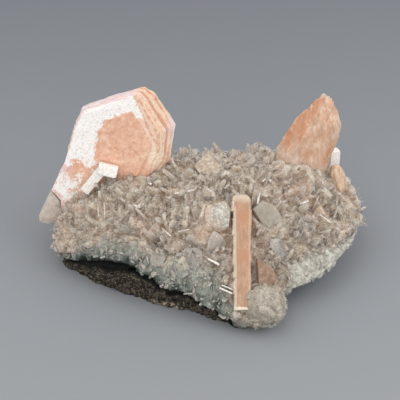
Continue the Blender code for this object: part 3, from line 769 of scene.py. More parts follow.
def taken_by_large_crystals(x, y, z):
    """Whether a place is under one of the crystals that have solids of their own."""
    local = LARGE_PLANE.local((x, y, z))[0]
    if -22.0 < local[0] < 20.0 and -4.4 < local[2] < 2.4:
        return True
    if 9.0 < x < 17.4 and -43.0 < y < -9.0:
        return True
    feet = [
        (33.0, 10.5, 9.0), (44.3, 9.6, 4.6), (-35.0, 0.4, 3.4), (5.4, -14.4, 4.8), (43.3, 16.5, 2.4),
        (3.0, 6.9, 4.4), (21.2, -9.4, 4.2), (20.2, -30.2, 3.4),
    ]
    return any(math.hypot(x - foot_x, y - foot_y) < reach for foot_x, foot_y, reach in feet)


def clear_of_crystals(places):
    """Whether each place is outside the large crystals and not before their faces."""
    local = LARGE_PLANE.local(places)
    large = inside(LARGE_REAR, local[:, :2]) & (local[:, 2] > -4.6) & (local[:, 2] < 2.4)
    local = POINTED_PLANE.local(places)
    silhouette = [(7.2, 25.9), (-8.6, 5.0), (-8.6, -5.0), (9.5, -5.0), (10.8, 5.9), (13.8, 15.0)]
    pointed = inside(silhouette, local[:, :2]) & (np.abs(local[:, 2]) < 4.8)
    top, foot = np.array(BLADE_TOP), np.array(BLADE_FOOT)
    along = (foot - top) / np.linalg.norm(foot - top)
    offset = places - top
    part = offset @ along
    side = np.abs(offset[:, 0] - along[0] * part)
    blade = (side < 3.4) & (part > -0.6) & (part < 37.5)
    taken = large | pointed | blade
    spheres = [
        ((44.6, 9.6, 21.7), 4.4), ((5.4, -14.4, 23.6), 4.8), ((43.3, 16.5, 22.6), 2.8),
        ((3.0, 6.2, 28.0), 4.2), ((21.2, -9.9, 22.1), 4.0), ((20.2, -30.7, 13.8), 3.6),
    ]
    for middle, radius in spheres:
        taken |= np.linalg.norm(places - np.array(middle), axis=1) < radius
    return ~taken


def scattered(points, out, allowed, segments, spacing, seed, wanted):
    """Evenly scattered places on the allowed part of a rock shell, with the outward direction of each."""
    rng = np.random.default_rng(seed)
    rows = len(points) // segments
    grid = points.reshape(rows, segments, 3)
    right = np.roll(grid, -1, axis=1)
    area = np.linalg.norm(np.cross(right[:-1] - grid[:-1], grid[1:] - grid[:-1]), axis=2)
    area *= allowed.reshape(rows, segments)[:-1]
    chance = (area / area.sum()).ravel()
    picks = rng.choice(len(chance), size=wanted * 6, p=chance)
    mixes = rng.random((len(picks), 2))
    taken = {}
    places, ways = [], []
    flat = out.reshape(rows, segments, 3)
    for pick, (u, v) in zip(picks, mixes):
        k, i = divmod(int(pick), segments)
        j = (i + 1) % segments
        low = grid[k, i] * (1 - u) + grid[k, j] * u
        high = grid[k + 1, i] * (1 - u) + grid[k + 1, j] * u
        place = low * (1 - v) + high * v
        cell = tuple(int(c) for c in np.floor(place / spacing))
        near = (
            taken.get((cell[0] + a, cell[1] + b, cell[2] + c), ())
            for a in (-1, 0, 1) for b in (-1, 0, 1) for c in (-1, 0, 1)
        )
        if any(np.abs(place - other).sum() < spacing * 1.2 for group in near for other in group):
            continue
        taken.setdefault(cell, []).append(place)
        places.append(place)
        ways.append(flat[k, i])
        if len(places) >= wanted:
            break
    return np.array(places), np.array(ways)


def grown_laths(name, places, ways, seed, width, length, tilt, flatness, rise):
    """A joined mesh of small crystals that stand on the given places, leaning every way.

    Width, length and tilt are ranges. Flatness is their thickness for their width, and rise turns them up.
    """
    rng = np.random.default_rng(seed)
    count = len(places)
    sideways = rng.normal(size=(count, 3))
    upward = np.array((0.0, 0.0, rise))
    axes = unit(ways + upward + unit(sideways) * rng.uniform(tilt[0], tilt[1], (count, 1)))
    wide = rng.uniform(width[0], width[1], count)
    long = rng.uniform(length[0], length[1], count)
    sizes = np.stack((wide, wide * rng.uniform(flatness * 0.6, flatness * 1.2, count), long), 1)
    tips = rng.choice(["roof", "slant", "point"], count)
    faces = rng.normal(size=(count, 3))
    centres = places - axes * (0.12 * long[:, None])
    ends = places + axes * (0.4 * long[:, None])
    drop = np.maximum(LATH_BELOW * axes[:, 2], -LATH_ABOVE * axes[:, 2]) * long + 0.5 * wide
    fits = clear_of_crystals(centres) & clear_of_crystals(ends) & (centres[:, 2] - drop > 0.1)
    centres, axes, faces, sizes, tips = centres[fits], axes[fits], faces[fits], sizes[fits], tips[fits]
    points, made, grain = laths(centres, axes, faces, sizes, list(tips))
    return mesh_piece(name, points, made, lath_numbers(centres, grain, rng))


# Peach-coloured patches in the crust: place in plan and reach.
WARM_PATCHES = [
    ((-21.0, -15.0), 4.5), ((3.0, -17.0), 3.5), ((8.0, -12.0), 3.0), ((20.0, -30.0), 4.0),
    ((-44.0, -3.0), 4.0), ((-13.5, -24.0), 3.4), ((37.0, -4.0), 3.0), ((12.0, 12.0), 3.5),
    ((-12.0, 10.0), 4.0), ((30.0, 2.0), 3.0),
]


def warmth(places, rng=None):
    """How peach-coloured each place of the crust is, a little by chance where there is a generator."""
    value = 0.25 * rng.random(len(places)) ** 3 if rng else np.zeros(len(places))
    for middle, reach in WARM_PATCHES:
        value = value + 0.75 * bump_at(places[:, 0], places[:, 1], middle, reach)
    return np.clip(value, 0.0, 1.0)


# Where the grey-green turns to mint, from left to right.
MINT_FROM, MINT_TO = 8.0, 24.0


def basalt_look():
    """Dark rock with pale specks, a nearly black strip under its upper seam and one streaked patch."""
    look = Look("basalt", roughness=0.55)
    look.set("Specular IOR Level", 0.2)
    browns = [(0.38, (14, 13, 10)), (0.5, (56, 51, 44)), (0.62, (126, 113, 97))]
    base = look.ramp(look.noise(1.1, 5.0, 0.75), browns)
    base = look.flecks(base, (170, 158, 140), (0.45, 2.0, 0.6), 0.58, 0.68, 0.8)
    ragged = look.plus(look.attribute("depth"), look.times(look.noise(2.4, 4.0, 0.65), 4.0))
    base = look.mix(look.between(ragged, 6.0, 4.2), base, (9, 11, 8))
    streak = look.between(look.noise(1.2, 3.0, 0.6), 0.42, 0.55)
    across = look.coordinate("X")
    patch = look.times(look.between(across, -17.0, -12.0), look.between(across, -3.0, -7.0))
    patch = look.times(patch, look.between(look.coordinate("Z"), 2.6, 1.2))
    look.set("Base Color", look.mix(look.times(patch, streak), base, (206, 190, 170)))
    look.bump(look.plus(look.noise(0.7, 5.0, 0.75), look.times(look.cells(0.6), 0.5)), 0.9)
    return look


def chalcedony_look():
    """Grey-green grains, darkest next to the basalt, that turn mint on the right."""
    look = Look("chalcedony", roughness=0.3, scatter=0.5, glow=2.0)
    look.set("Specular IOR Level", 0.35)
    uneven = look.times(look.maths("SUBTRACT", look.noise(2.6, 5.0, 0.7), 0.5), 9.0)
    rise = look.times(look.plus(look.attribute("rise"), uneven), 0.1)
    greens = [
        (0.0, (66, 72, 66)), (0.14, (108, 114, 107)), (0.3, (148, 150, 141)), (0.5, (184, 178, 164)),
        (0.75, (226, 210, 190)),
    ]
    mints = [(0.3, (170, 166, 153)), (0.5, (203, 199, 187)), (0.7, (232, 229, 221))]
    rightward = look.between(look.coordinate("X"), MINT_FROM, MINT_TO)
    base = look.mix(rightward, look.ramp(rise, greens), look.ramp(look.noise(1.6, 4.0, 0.6), mints))
    base = look.flecks(base, (214, 218, 210), (2.2, 4.0, 0.7), 0.5, 0.7, 0.5)
    look.set("Base Color", look.flecks(base, (238, 240, 234), (0.4, 3.0, 0.7), 0.6, 0.7, 0.5))
    look.bump(look.plus(look.cells(1.3), look.noise(0.6, 4.0, 0.7)), 0.45)
    return look


def painted_sparkle(look, colour):
    """Painted sparkle: fine white painted highlights in patches, over a colour."""
    patches = look.between(look.noise(3.4, 3.0, 0.6), 0.42, 0.6)
    sparkle = look.between(look.noise(0.36, 3.0, 0.75), 0.54, 0.64)
    strength = look.times(look.maths("MULTIPLY_ADD", patches, 0.8, 0.2), sparkle)
    return look.mix(look.times(strength, 0.8), colour, (255, 252, 248))


def painted_rim_highlights(look, colour, pale):
    """A colour that turns pale at the edges of each crystal: painted highlights on the rims."""
    rim = look.times(look.maths("POWER", look.attribute("rim"), 4.0), 0.5)
    return look.mix(rim, colour, pale)


def crust_look(name, tones, roughness, transmission, scatter, tip=0.3, mint=False):
    """A look for the small crystals, which vary one by one and turn peach in places, with painted highlights
    at tips and edges and painted glints.
    """
    look = Look(name, roughness, transmission, 1.53, scatter, glow=4.6)
    colour = look.ramp(look.attribute("tone"), tones)
    colour = look.mix(look.times(look.attribute("warm"), 0.5), colour, (236, 198, 170))
    # Painted highlight: each small crystal turns whiter towards its tip.
    colour = look.mix(look.times(look.attribute("tip"), tip), colour, (255, 248, 240))
    striped = look.stretched((1.0, 0.22, 1.0), place=look.attribute("grain", "Vector"))
    veins = look.times(look.plus(look.noise(0.5, 4.0, 0.7, striped), look.noise(0.8, 4.0, 0.75)), 0.5)
    drift = look.noise(7.0)
    grains = look.noise(0.5, 2.0, 0.7)
    for texture, shades in (
        (veins, [(0.4, (0.88, 0.87, 0.85)), (0.5, (0.95, 0.94, 0.93)), (0.58, (1.02, 1.02, 1.01))]),
        (drift, [(0.36, (0.84, 0.85, 0.83)), (0.5, (0.96, 0.95, 0.94)), (0.64, (1.06, 1.01, 0.98))]),
        (grains, [(0.38, (0.9, 0.89, 0.87)), (0.5, (1.0, 1.0, 1.0)), (0.62, (1.08, 1.08, 1.08))]),
    ):
        colour = look.mix(1.0, colour, look.ramp(texture, shades, linear=True), "MULTIPLY")
    if mint:
        rightward = look.between(look.coordinate("X"), MINT_FROM, MINT_TO)
        colour = look.mix(rightward, colour, (210, 205, 192))
    # Painted sparkle, then painted glints: tiny near-white spots where fine noise runs high.
    colour = look.flecks(painted_sparkle(look, colour), (255, 254, 250), (0.5, 1.0, 0.5), 0.63, 0.67, 0.85)
    # Painted highlights at the edges of each crystal.
    look.set("Base Color", painted_rim_highlights(look, colour, (255, 251, 246)))
    look.bump(veins, 0.2)
    return look


def ball_look():
    """The rosette's milky glass, a little greener at its foot, with painted rim highlights and painted
    sparkle.
    """
    look = Look("crust_ball", roughness=0.14, transmission=0.3, refraction=1.53, scatter=0.9, glow=3.0)
    greys = [(0.36, (162, 152, 136)), (0.52, (190, 179, 163)), (0.68, (216, 206, 192))]
    soft = look.ramp(look.noise(2.0, 4.0, 0.6), greys)
    soft = look.mix(look.between(look.coordinate("Z"), 6.0, 2.0), soft, (196, 196, 184))
    look.set("Base Color", painted_sparkle(look, painted_rim_highlights(look, soft, (250, 246, 240))))
    look.bump(look.noise(0.8, 4.0, 0.6), 0.25)
    return look


def large_look():
    """Peach with a painted pearly glare: layered stripes at the steps, lilac edges, white speckle where the
    glare is painted, and a painted cream highlight on the steps.
    """
    look = Look("stilbite_peach_painted_glare", roughness=0.34, scatter=0.25, coat=0.25)
    mottle = look.noise(1.5, 4.0, 0.65)
    peach = look.ramp(mottle, [(0.3, (214, 156, 126)), (0.5, (228, 180, 152)), (0.7, (242, 208, 184))])
    uneven = look.maths("MULTIPLY_ADD", look.noise(0.9, 5.0, 0.8), 1.3, -0.36)
    stripe = look.maths("MULTIPLY_ADD", look.attribute("stripe"), 0.6, uneven)
    layers = look.ramp(stripe, [
        (0.3, (210, 156, 130)), (0.48, (226, 182, 158)), (0.6, (246, 228, 204)), (0.72, (228, 192, 170)),
        (0.9, (252, 246, 242)),
    ])
    peach = look.mix(look.attribute("layered"), peach, layers)
    peach = look.mix(look.attribute("deep"), peach, (218, 146, 108))
    # Painted highlight: cream patches on the steps at the right.
    cream = look.times(look.attribute("cream"), look.between(look.noise(0.7, 4.0, 0.8), 0.42, 0.54))
    peach = look.mix(cream, peach, (252, 240, 214))
    peach = look.flecks(peach, (252, 232, 216), (0.5, 3.0, 0.75), 0.56, 0.66, 0.45)
    lilac = look.times(look.attribute("lilac"), look.between(look.noise(1.1, 4.0, 0.7), 0.34, 0.56))
    peach = look.mix(lilac, peach, (232, 216, 222))
    fine = look.times(look.noise(0.5, 3.0, 0.75), 0.9)
    broad = look.times(look.noise(2.4, 3.0, 0.6), 1.3)
    # Painted glare: the reflection of light on the upper band and the left side is painted as white speckle.
    speckle = look.between(look.plus(look.attribute("painted_glare"), look.plus(fine, broad)), 1.62, 1.78)
    whites = [(0.32, (196, 176, 176)), (0.42, (246, 238, 234)), (0.6, (255, 253, 250))]
    look.set("Base Color", look.mix(speckle, peach, look.ramp(look.noise(0.7, 4.0, 0.7), whites)))
    look.bump(look.plus(look.noise(0.5, 3.0, 0.6), look.times(mottle, 0.8)), 0.14)
    return look


def pointed_look():
    """Peach with streaks along the crystal, orange facets, pale tip and foot, and a pale painted highlight
    spot.
    """
    look = Look("stilbite_peach", roughness=0.34, scatter=0.35, coat=0.12)
    streaks = look.noise(1.7, 5.0, 0.7, look.stretched((1.0, 1.0, 0.4), (0.0, 16.0, 0.0)))
    peach = look.ramp(streaks, [(0.32, (194, 150, 122)), (0.5, (208, 170, 144)), (0.66, (224, 196, 176))])
    orange = look.ramp(look.noise(1.8, 4.0, 0.65), [(0.32, (184, 126, 90)), (0.68, (206, 154, 120))])
    pale = look.ramp(streaks, [(0.3, (190, 166, 146)), (0.7, (210, 190, 174))])
    colour = look.mix(look.attribute("deep"), peach, orange)
    colour = look.mix(look.attribute("pale"), colour, pale)
    striae = look.between(look.noise(0.9, 3.0, 0.6, look.stretched((1.0, 1.0, 0.25))), 0.58, 0.68)
    look.set("Base Color", look.mix(look.times(striae, 0.5), colour, (244, 222, 204)))
    look.bump(look.plus(streaks, look.times(look.noise(0.5, 3.0), 0.4)), 0.15)
    return look


def blade_look():
    """Brownish peach in blotches and fine lines, with a pale strip, a painted highlight along the right edge,
    and chipped edges.
    """
    look = Look("stilbite_blade", roughness=0.36, scatter=0.35, coat=0.1)
    blotches = look.noise(2.4, 4.0, 0.7, look.stretched((1.4, 0.7, 0.7)))
    lines = look.noise(1.0, 4.0, 0.6, look.stretched((1.6, 0.3, 0.3)))
    bands = look.times(look.plus(blotches, lines), 0.5)
    peach = look.ramp(bands, [(0.34, (164, 122, 94)), (0.5, (180, 143, 115)), (0.66, (200, 166, 140))])
    colour = look.mix(look.attribute("deep"), peach, (184, 136, 104))
    colour = look.mix(look.attribute("pale"), colour, (206, 188, 168))
    chips = look.between(look.plus(look.attribute("chips"), look.noise(0.8, 2.0)), 0.95, 1.1)
    look.set("Base Color", look.mix(chips, colour, (232, 218, 200)))
    look.bump(look.plus(bands, look.noise(0.4, 3.0)), 0.18)
    return look


def golden_look():
    """The barrel's golden peach, streaked along its length."""
    look = Look("stilbite_golden", roughness=0.3, scatter=0.15, coat=0.2)
    streaks = look.noise(0.8, 3.0, 0.6, look.stretched((1.0, 0.4, 0.4)))
    golds = [(0.3, (176, 142, 116)), (0.5, (198, 168, 142)), (0.7, (226, 206, 184))]
    look.set("Base Color", look.ramp(streaks, golds))
    look.bump(streaks, 0.25)
    return look


def white_look():
    """Plain white, or salted grey and white where a crystal carries it, with rosy sides."""
    look = Look("white_apophyllite", roughness=0.26, scatter=0.4, coat=0.3)
    cloud = look.noise(0.8, 4.0, 0.75)
    salted = look.ramp(cloud, [(0.36, (158, 151, 141)), (0.5, (186, 179, 168)), (0.6, (222, 217, 208))])
    plain = look.ramp(cloud, [(0.3, (224, 212, 204)), (0.6, (252, 249, 246))])
    rosy = look.ramp(cloud, [(0.3, (190, 166, 146)), (0.5, (214, 190, 170)), (0.7, (232, 214, 198))])
    white = look.mix(look.attribute("salted"), plain, salted)
    look.set("Base Color", look.mix(look.attribute("rosy"), white, rosy))
    look.bump(look.noise(0.5, 3.0), 0.12)
    return look


def cloudy_look(name, cloud, stops, grit, depth, **kind):
    """A look whose colours drift in clouds, over grit of a size and depth."""
    look = Look(name, **kind)
    look.set("Base Color", look.ramp(look.noise(*cloud), stops))
    look.bump(look.noise(grit), depth)
    return look


def make_looks():
    """All the materials, by name."""
    sand = [(0.0, (205, 186, 167)), (0.5, (221, 203, 184)), (1.0, (239, 224, 207))]
    smoke = [(0.0, (184, 166, 147)), (0.5, (202, 185, 167)), (1.0, (226, 210, 194))]
    ivory = [(0.0, (236, 218, 198)), (0.5, (250, 238, 222)), (1.0, (255, 252, 246))]
    sage = [(0.0, (118, 124, 114)), (0.45, (165, 166, 155)), (1.0, (214, 211, 200))]
    white = [(0.3, (196, 186, 176)), (0.6, (240, 234, 228))]
    brown_pink = [(0.3, (130, 100, 80)), (0.5, (152, 122, 100)), (0.7, (176, 150, 130))]
    cream = [(0.34, (166, 148, 130)), (0.5, (192, 174, 156)), (0.66, (220, 206, 190))]
    clear = [(0.3, (232, 214, 200)), (0.7, (250, 240, 230))]
    mint = [(0.3, (182, 174, 160)), (0.7, (206, 198, 184))]
    glass = {"refraction": 1.535, "scatter": 0.8, "glow": 2.5}
    milk = {"roughness": 0.3, "scatter": 0.2, "transmission": 0.1}
    looks = {
        "basalt": basalt_look(),
        "chalcedony": chalcedony_look(),
        "ground": crust_look("crust_ground", sand, 0.2, 0.2, 1.0),
        "glassy": crust_look("crust_glassy", smoke, 0.12, 0.35, 1.0),
        "needle": crust_look("crust_needle", ivory, 0.2, 0.1, 0.8),
        "ball": ball_look(),
        "green": crust_look("crust_green", sage, 0.26, 0.3, 0.5, tip=0.15, mint=True),
        # Painted highlights: white slivers that stand for glints.
        "painted_glint": cloudy_look(
            "crust_painted_glint", (0.7,), white, 0.4, 0.1, roughness=0.2, scatter=0.5, coat=0.4, glow=0.8
        ),
        "stilbite_large": large_look(),
        "stilbite_pointed": pointed_look(),
        "stilbite_blade": blade_look(),
        "stilbite_golden": golden_look(),
        "pink": cloudy_look("pink_crystal", (1.4, 3.0, 0.6), brown_pink, 0.6, 0.15, coat=0.1, **milk),
        "white": white_look(),
        "cream": cloudy_look("cream_apophyllite", (0.9, 4.0, 0.65), cream, 0.4, 0.15, coat=0.2, **milk),
        "clear": cloudy_look(
            "clear_apophyllite", (1.5,), clear, 0.6, 0.12, roughness=0.12, transmission=0.5, **glass
        ),
        "mint": cloudy_look(
            "mint_apophyllite", (1.5,), mint, 0.6, 0.15, roughness=0.2, transmission=0.35, **glass
        ),
    }
    looks["clear"].absorb((236, 216, 198), 16.0)
    looks["mint"].absorb((200, 204, 190), 20.0)
    return looks


def large_rings(rng):
    """The tabular crystal in its own plane: rings from rear to raised face, and the depths of its plates."""
    corners = np.array(LARGE_REAR + LARGE_FRONT + LARGE_FACE) - LARGE_MIDDLE
    even_angles = np.linspace(-math.pi, math.pi, 260, endpoint=False)
    corner_angles = np.arctan2(corners[:, 1], corners[:, 0])
    angles = np.unique(np.round(np.concatenate((even_angles, corner_angles)), 4))
    ray = np.stack((np.cos(angles), np.sin(angles)), 1)
    outlines = (LARGE_REAR, LARGE_FRONT, LARGE_FACE)
    rear, front, face = (polygon_radius(outline, LARGE_MIDDLE, angles) for outline in outlines)
    rings = []

    def ragged(seed, size, amount):
        """Small ins and outs along an edge."""
        return amount * lumps(np.column_stack((ray * 15.0, np.full(len(ray), seed))), size, seed)

    def ring(radius, depth):
        """Adds a ring at a distance from the middle and a depth, one for all or one for each direction."""
        flat = np.array(LARGE_MIDDLE) + radius[:, None] * ray
        rings.append(np.column_stack((flat, np.broadcast_to(depth, len(angles)))))

    rear_depth = LARGE_FRONT_DEPTH - LARGE_DEPTH
    for part in (0.1, 0.4, 0.78):
        ring(rear * part, rear_depth - 0.8)
    ring(rear * 0.8, rear_depth)
    thickness = rng.uniform(0.6, 1.4, LARGE_PLATES)
    depths = rear_depth + LARGE_DEPTH * np.concatenate(((0.0,), np.cumsum(thickness) / thickness.sum()))
    for k in range(LARGE_PLATES):
        part = np.clip((k + rng.uniform(-0.3, 0.3)) / (LARGE_PLATES - 1), 0.0, 1.0)
        radius = rear + (front - rear) * part + ragged(3.0 + k, 7.0, 0.55) + ragged(9.0 + k, 1.6, 0.3) - 0.25
        ring(radius, depths[k])
        ring(radius, depths[k + 1])
    right = smoothstep(np.cos(angles + 0.25), 0.2, 0.75)
    for k in range(FACE_STEPS):
        radius = front + (face - front) * (k + 0.7) / FACE_STEPS - 0.25 + ragged(20.0 + k, 5.0, 0.35)
        height = LARGE_FRONT_DEPTH + 0.1 * lumps(np.column_stack((ray * 9.0, np.full(len(ray), k))), 3.0, 4.0)
        ring(radius, height - 0.22 * right * (FACE_STEPS - k) / FACE_STEPS)
        ring(radius - 0.12, height - 0.22 * right * (FACE_STEPS - k - 1) / FACE_STEPS)
    ring(face, LARGE_FRONT_DEPTH)
    ring(face - 0.12, LARGE_FRONT_DEPTH + FACE_RISE)
    for part in (0.86, 0.7, 0.52, 0.34, 0.16):
        ring(face * part, LARGE_FRONT_DEPTH + FACE_RISE)
    return np.array(rings), depths


def large_marks(local, depths, rng):
    """Where the tabular crystal has its painted glare, is lilac, layered or deep, or has its painted cream
    highlight, and which stripe each plate has.
    """
    a, b, c = local.T
    in_face = inside(LARGE_FACE, local[:, :2])
    from_face = edge_distance(LARGE_FACE, local[:, :2]) * np.where(in_face, -1.0, 1.0)
    # The painted glare: white where reflected light falls on the upper band and the left side, painted into
    # the colour.
    upper = smoothstep(b - 0.35 * a, 19.0, 22.5) * (1.0 - smoothstep(a + 0.5 * (b - 26.0), 8.0, 10.0))
    left = smoothstep(-a, 2.6, 5.6) * (0.56 + 0.44 * smoothstep(b, 3.0, 12.0))
    painted_glare = np.maximum(upper, 0.85 * left) * smoothstep(from_face, -0.4, 0.3)
    painted_glare = np.where(c > LARGE_FRONT_DEPTH - 0.5, painted_glare, 0.0)
    painted_glare = painted_glare + 0.35 * bump_at(a, b, (-14.5, -1.0), 2.6) - 0.16 * bump_at(a, b, (-11.5, 5.5), 2.4)
    plate = np.clip(np.searchsorted(depths, c - 0.02), 0, LARGE_PLATES)
    stripe = rng.permutation(np.linspace(0.0, 0.75, LARGE_PLATES + 1))[plate]
    stripe = np.where(c < LARGE_FRONT_DEPTH - 0.2, stripe, 0.25 + 0.5 * (np.floor(from_face / 0.9) % 2))
    below = smoothstep(c, LARGE_FRONT_DEPTH - 0.05, LARGE_FRONT_DEPTH - 0.35)
    steps = smoothstep(a + 0.2 * b, 11.5, 14.5) * np.where(in_face, 0.0, 1.0)
    lilac = below * smoothstep(b, 12.0, 20.0) * (1.0 - smoothstep(a, 5.0, 9.0))
    lilac += 0.9 * smoothstep(a, 16.5, 18.5) * smoothstep(b, 13.0, 17.0) + 0.8 * smoothstep(-a, 12.5, 15.0)
    deep = 0.6 * smoothstep(a, 15.0, 18.0) * smoothstep(-b, -13.0, -7.0) + 0.5 * smoothstep(-b, 4.0, 8.0)
    return {
        "painted_glare": painted_glare,
        "stripe": stripe,
        "layered": np.clip(np.maximum(below, 0.9 * steps), 0.0, 1.0),
        "lilac": np.clip(lilac, 0, 1),
        "deep": np.clip(deep, 0, 1),
        # A painted cream highlight on the steps at the right.
        "cream": bump_at(a, b, (13.2, 11.0), 2.2) * smoothstep(a, 10.5, 12.0),
    }


def large_stilbite():
    """The tabular crystal: plates that step back from a raised front face, each with a ragged edge."""
    rng = np.random.default_rng(5)
    rings, depths = large_rings(rng)
    local = rings.reshape(-1, 3)
    piece = mesh_piece("stilbite_large_plates", LARGE_PLANE.place(local), grid_faces(*rings.shape[:2]))
    turn_outwards(piece)
    carry(piece, **large_marks(local, depths, rng))
    return piece


def clear_crystal():
    """The colourless wedge at the large crystal's foot."""
    tip = np.array(CLEAR_TIP)
    points = np.concatenate((
        np.column_stack((tip, np.full(6, 0.9))),
        np.column_stack((tip * 0.9 + (-2.0, -0.9), np.full(6, -2.6))),
        np.column_stack((tip * 0.5 + (-10.3, -5.0), np.full(6, 2.0))),
    ))
    return hull_piece("clear_crystal_wedge", LARGE_PLANE.place(points))


def pointed_stilbite():
    """The pointed crystal with ribs along its length and small steps on its edges."""

    def relief(local):
        """How far each point moves out."""
        ribs = 0.22 * lumps(local * (1.0, 0.12, 1.0), 0.9, 3.0)
        ribs += 0.25 * lumps(local * (1.0, 0.3, 1.0), 2.5, 6.0)
        steps = np.round((local[:, 0] - 0.55 * local[:, 1]) / 2.2 + 0.6 * lumps(local, 5.0, 1.0))
        return ribs + 0.2 * (steps % 2) - 0.15

    places = POINTED_PLANE.place(POINTED_POINTS)
    piece, local = worked_piece("stilbite_pointed_point", places, POINTED_PLANE, 0.34, relief)
    a, b, _ = local.T
    ridge = a + 3.2 - 0.55 * np.maximum(b - 5.0, 0.0)
    deep = 0.9 * smoothstep(-ridge, -0.6, 0.6) * smoothstep(b, 5.0, 9.0)
    deep += 1.0 * smoothstep(a - 0.35 * b, 5.6, 7.4) * smoothstep(-b, -12.0, -9.0) * smoothstep(b, 0.0, 3.0)
    pale = smoothstep(b, 23.4, 25.6) * 0.9 + 0.85 * smoothstep(-b - 0.4 * a, -7.0, -2.0)
    # The first term is a round pale spot at the middle left, a painted highlight; the second makes the right
    # edge paler.
    pale += 0.7 * bump_at(a, 0.35 * b, (-1.6, 2.6), 0.8) + 0.4 * smoothstep(a - 0.2 * b, 7.6, 9.6)
    deep *= 1.0 - np.clip(pale, 0.0, 1.0)
    carry(piece, deep=np.clip(deep, 0, 1), pale=np.clip(pale, 0, 1))
    return piece


def blade_rings():
    """The blade's toothed cross-sections from its top to its foot, as rings of points."""
    top, foot = np.array(BLADE_TOP), np.array(BLADE_FOOT)
    length = float(np.linalg.norm(foot - top))
    along = (foot - top) / length
    across = np.array((1.0, 0.0, 0.0))
    out = np.cross(along, across)
    rng = np.random.default_rng(8)
    notches = np.cumsum(rng.uniform(0.9, 2.6, 40))
    reach = rng.uniform(-0.5, 0.35, 41)
    right_reach = rng.uniform(-0.25, 0.1, 41)
    rings = []
    for part in np.linspace(0.0, 1.0, BLADE_STATIONS):
        tooth = reach[int(np.searchsorted(notches, part * length))] + 0.35
        other = right_reach[int(np.searchsorted(notches, part * length * 0.8))]
        rounded = math.sqrt(1.0 - (1.0 - min(part / 0.08, 1.0)) ** 2)
        half = 0.5 * BLADE_WIDTH * (1.0 - 0.1 * part) * (0.25 + 0.75 * rounded)
        drop = 1.4 * (1.0 - rounded)
        depth = BLADE_DEPTH * (1.0 - 0.35 * part)
        wave = 0.3 * noise.noise(Vector((part * 9.0, 4.0, 2.0)))
        section = np.array([
            (-half - tooth, -1.3), (-half - tooth + 0.35, -0.55 - drop), (-half + 0.9, -0.3 - drop),
            (-half + 1.1, -drop + wave), (-0.2, -drop + 0.15 + wave), (half - 1.0, -drop + wave),
            (half - 0.4, -0.15 - drop), (half + other, -0.7 - drop), (half + other, -depth * 0.5),
            (half, -depth), (-half, -depth), (-half - 0.3 * tooth, -2.6),
        ])
        rings.append(top + along * (part * length) + section[:, :1] * across + section[:, 1:] * out)
    return np.array(rings)


def blade_stilbite():
    """The blade: its narrow face towards the viewer, with a toothed pale strip down the left edge."""
    rings = blade_rings()
    stations, count = rings.shape[:2]
    piece = mesh_piece("stilbite_blade_column", rings.reshape(-1, 3), grid_faces(stations, count))
    turn_outwards(piece)
    part = np.repeat(np.linspace(0.0, 1.0, stations), count)
    index = np.tile(np.arange(count), stations)
    # The left strip is paler in colour; the half-strength pale along the right edge is a painted highlight.
    pale = np.where(index <= 2, 0.9, 0.0) + np.where((index == 6) | (index == 7), 0.5, 0.0)
    pale = pale * smoothstep(part, 0.06, 0.16) + 0.9 * smoothstep(part, 0.1, 0.03)
    chips = np.where(index == 1, 0.5, 0.0) + 0.75 * smoothstep(part, 0.96, 0.99)
    deep = np.exp(-((part - 0.2) / 0.08) ** 2) + 0.9 * np.exp(-((part - 0.54) / 0.08) ** 2)
    deep = np.where(index > 7, 0.8, deep)
    carry(piece, pale=np.clip(pale, 0, 1), deep=np.clip(deep, 0, 1), chips=chips)
    return piece


def barrel_stilbite():
    """The small golden barrel on the right slope."""
    plane = Plane((44.6, 9.6, 21.7), 40.0, 8.0, 6.0)
    points = []
    for up, radius in ((-5.4, 1.5), (-3.6, 2.3), (-0.5, 2.7), (2.4, 2.3), (4.2, 1.4)):
        for i in range(8):
            angle = 2 * math.pi * (i + 0.5) / 8
            points.append((radius * math.cos(angle), up, radius * math.sin(angle)))

    def relief(local):
        """How far each point moves out."""
        return 0.25 * lumps(local * (1.0, 0.25, 1.0), 0.9, 2.0)

    return worked_piece("stilbite_barrel_ribs", plane.place(points), plane, 0.3, relief)[0]


def block_points(width, height, depth, cut):
    """A blocky apophyllite crystal: a square prism with its eight corners cut off."""
    points = []
    for sx in (-1, 1):
        for sy in (-1, 1):
            for sz in (-1, 1):
                x, y, z = sx * width / 2, sy * height / 2, sz * depth / 2
                points.append((x - sx * cut, y, z))
                points.append((x, y - sy * cut, z))
                points.append((x, y, z - sz * cut * 0.8))
    return points


def plate_points(outline, thick):
    """A flat crystal that is widest at half its thickness, from its front outline."""
    points = [(p[0], p[1], 0.0) for p in outline]
    points += [(p[0] * 1.12, p[1] * 1.12, -0.5 * thick) for p in outline]
    return points + [(p[0], p[1], -thick) for p in outline]


def joined(name, pieces):
    """Several meshes as one piece."""
    shape = bmesh.new()
    for piece in pieces:
        shape.from_mesh(piece.data)
        bpy.data.objects.remove(piece, do_unlink=True)
    return shape_object(name, shape)


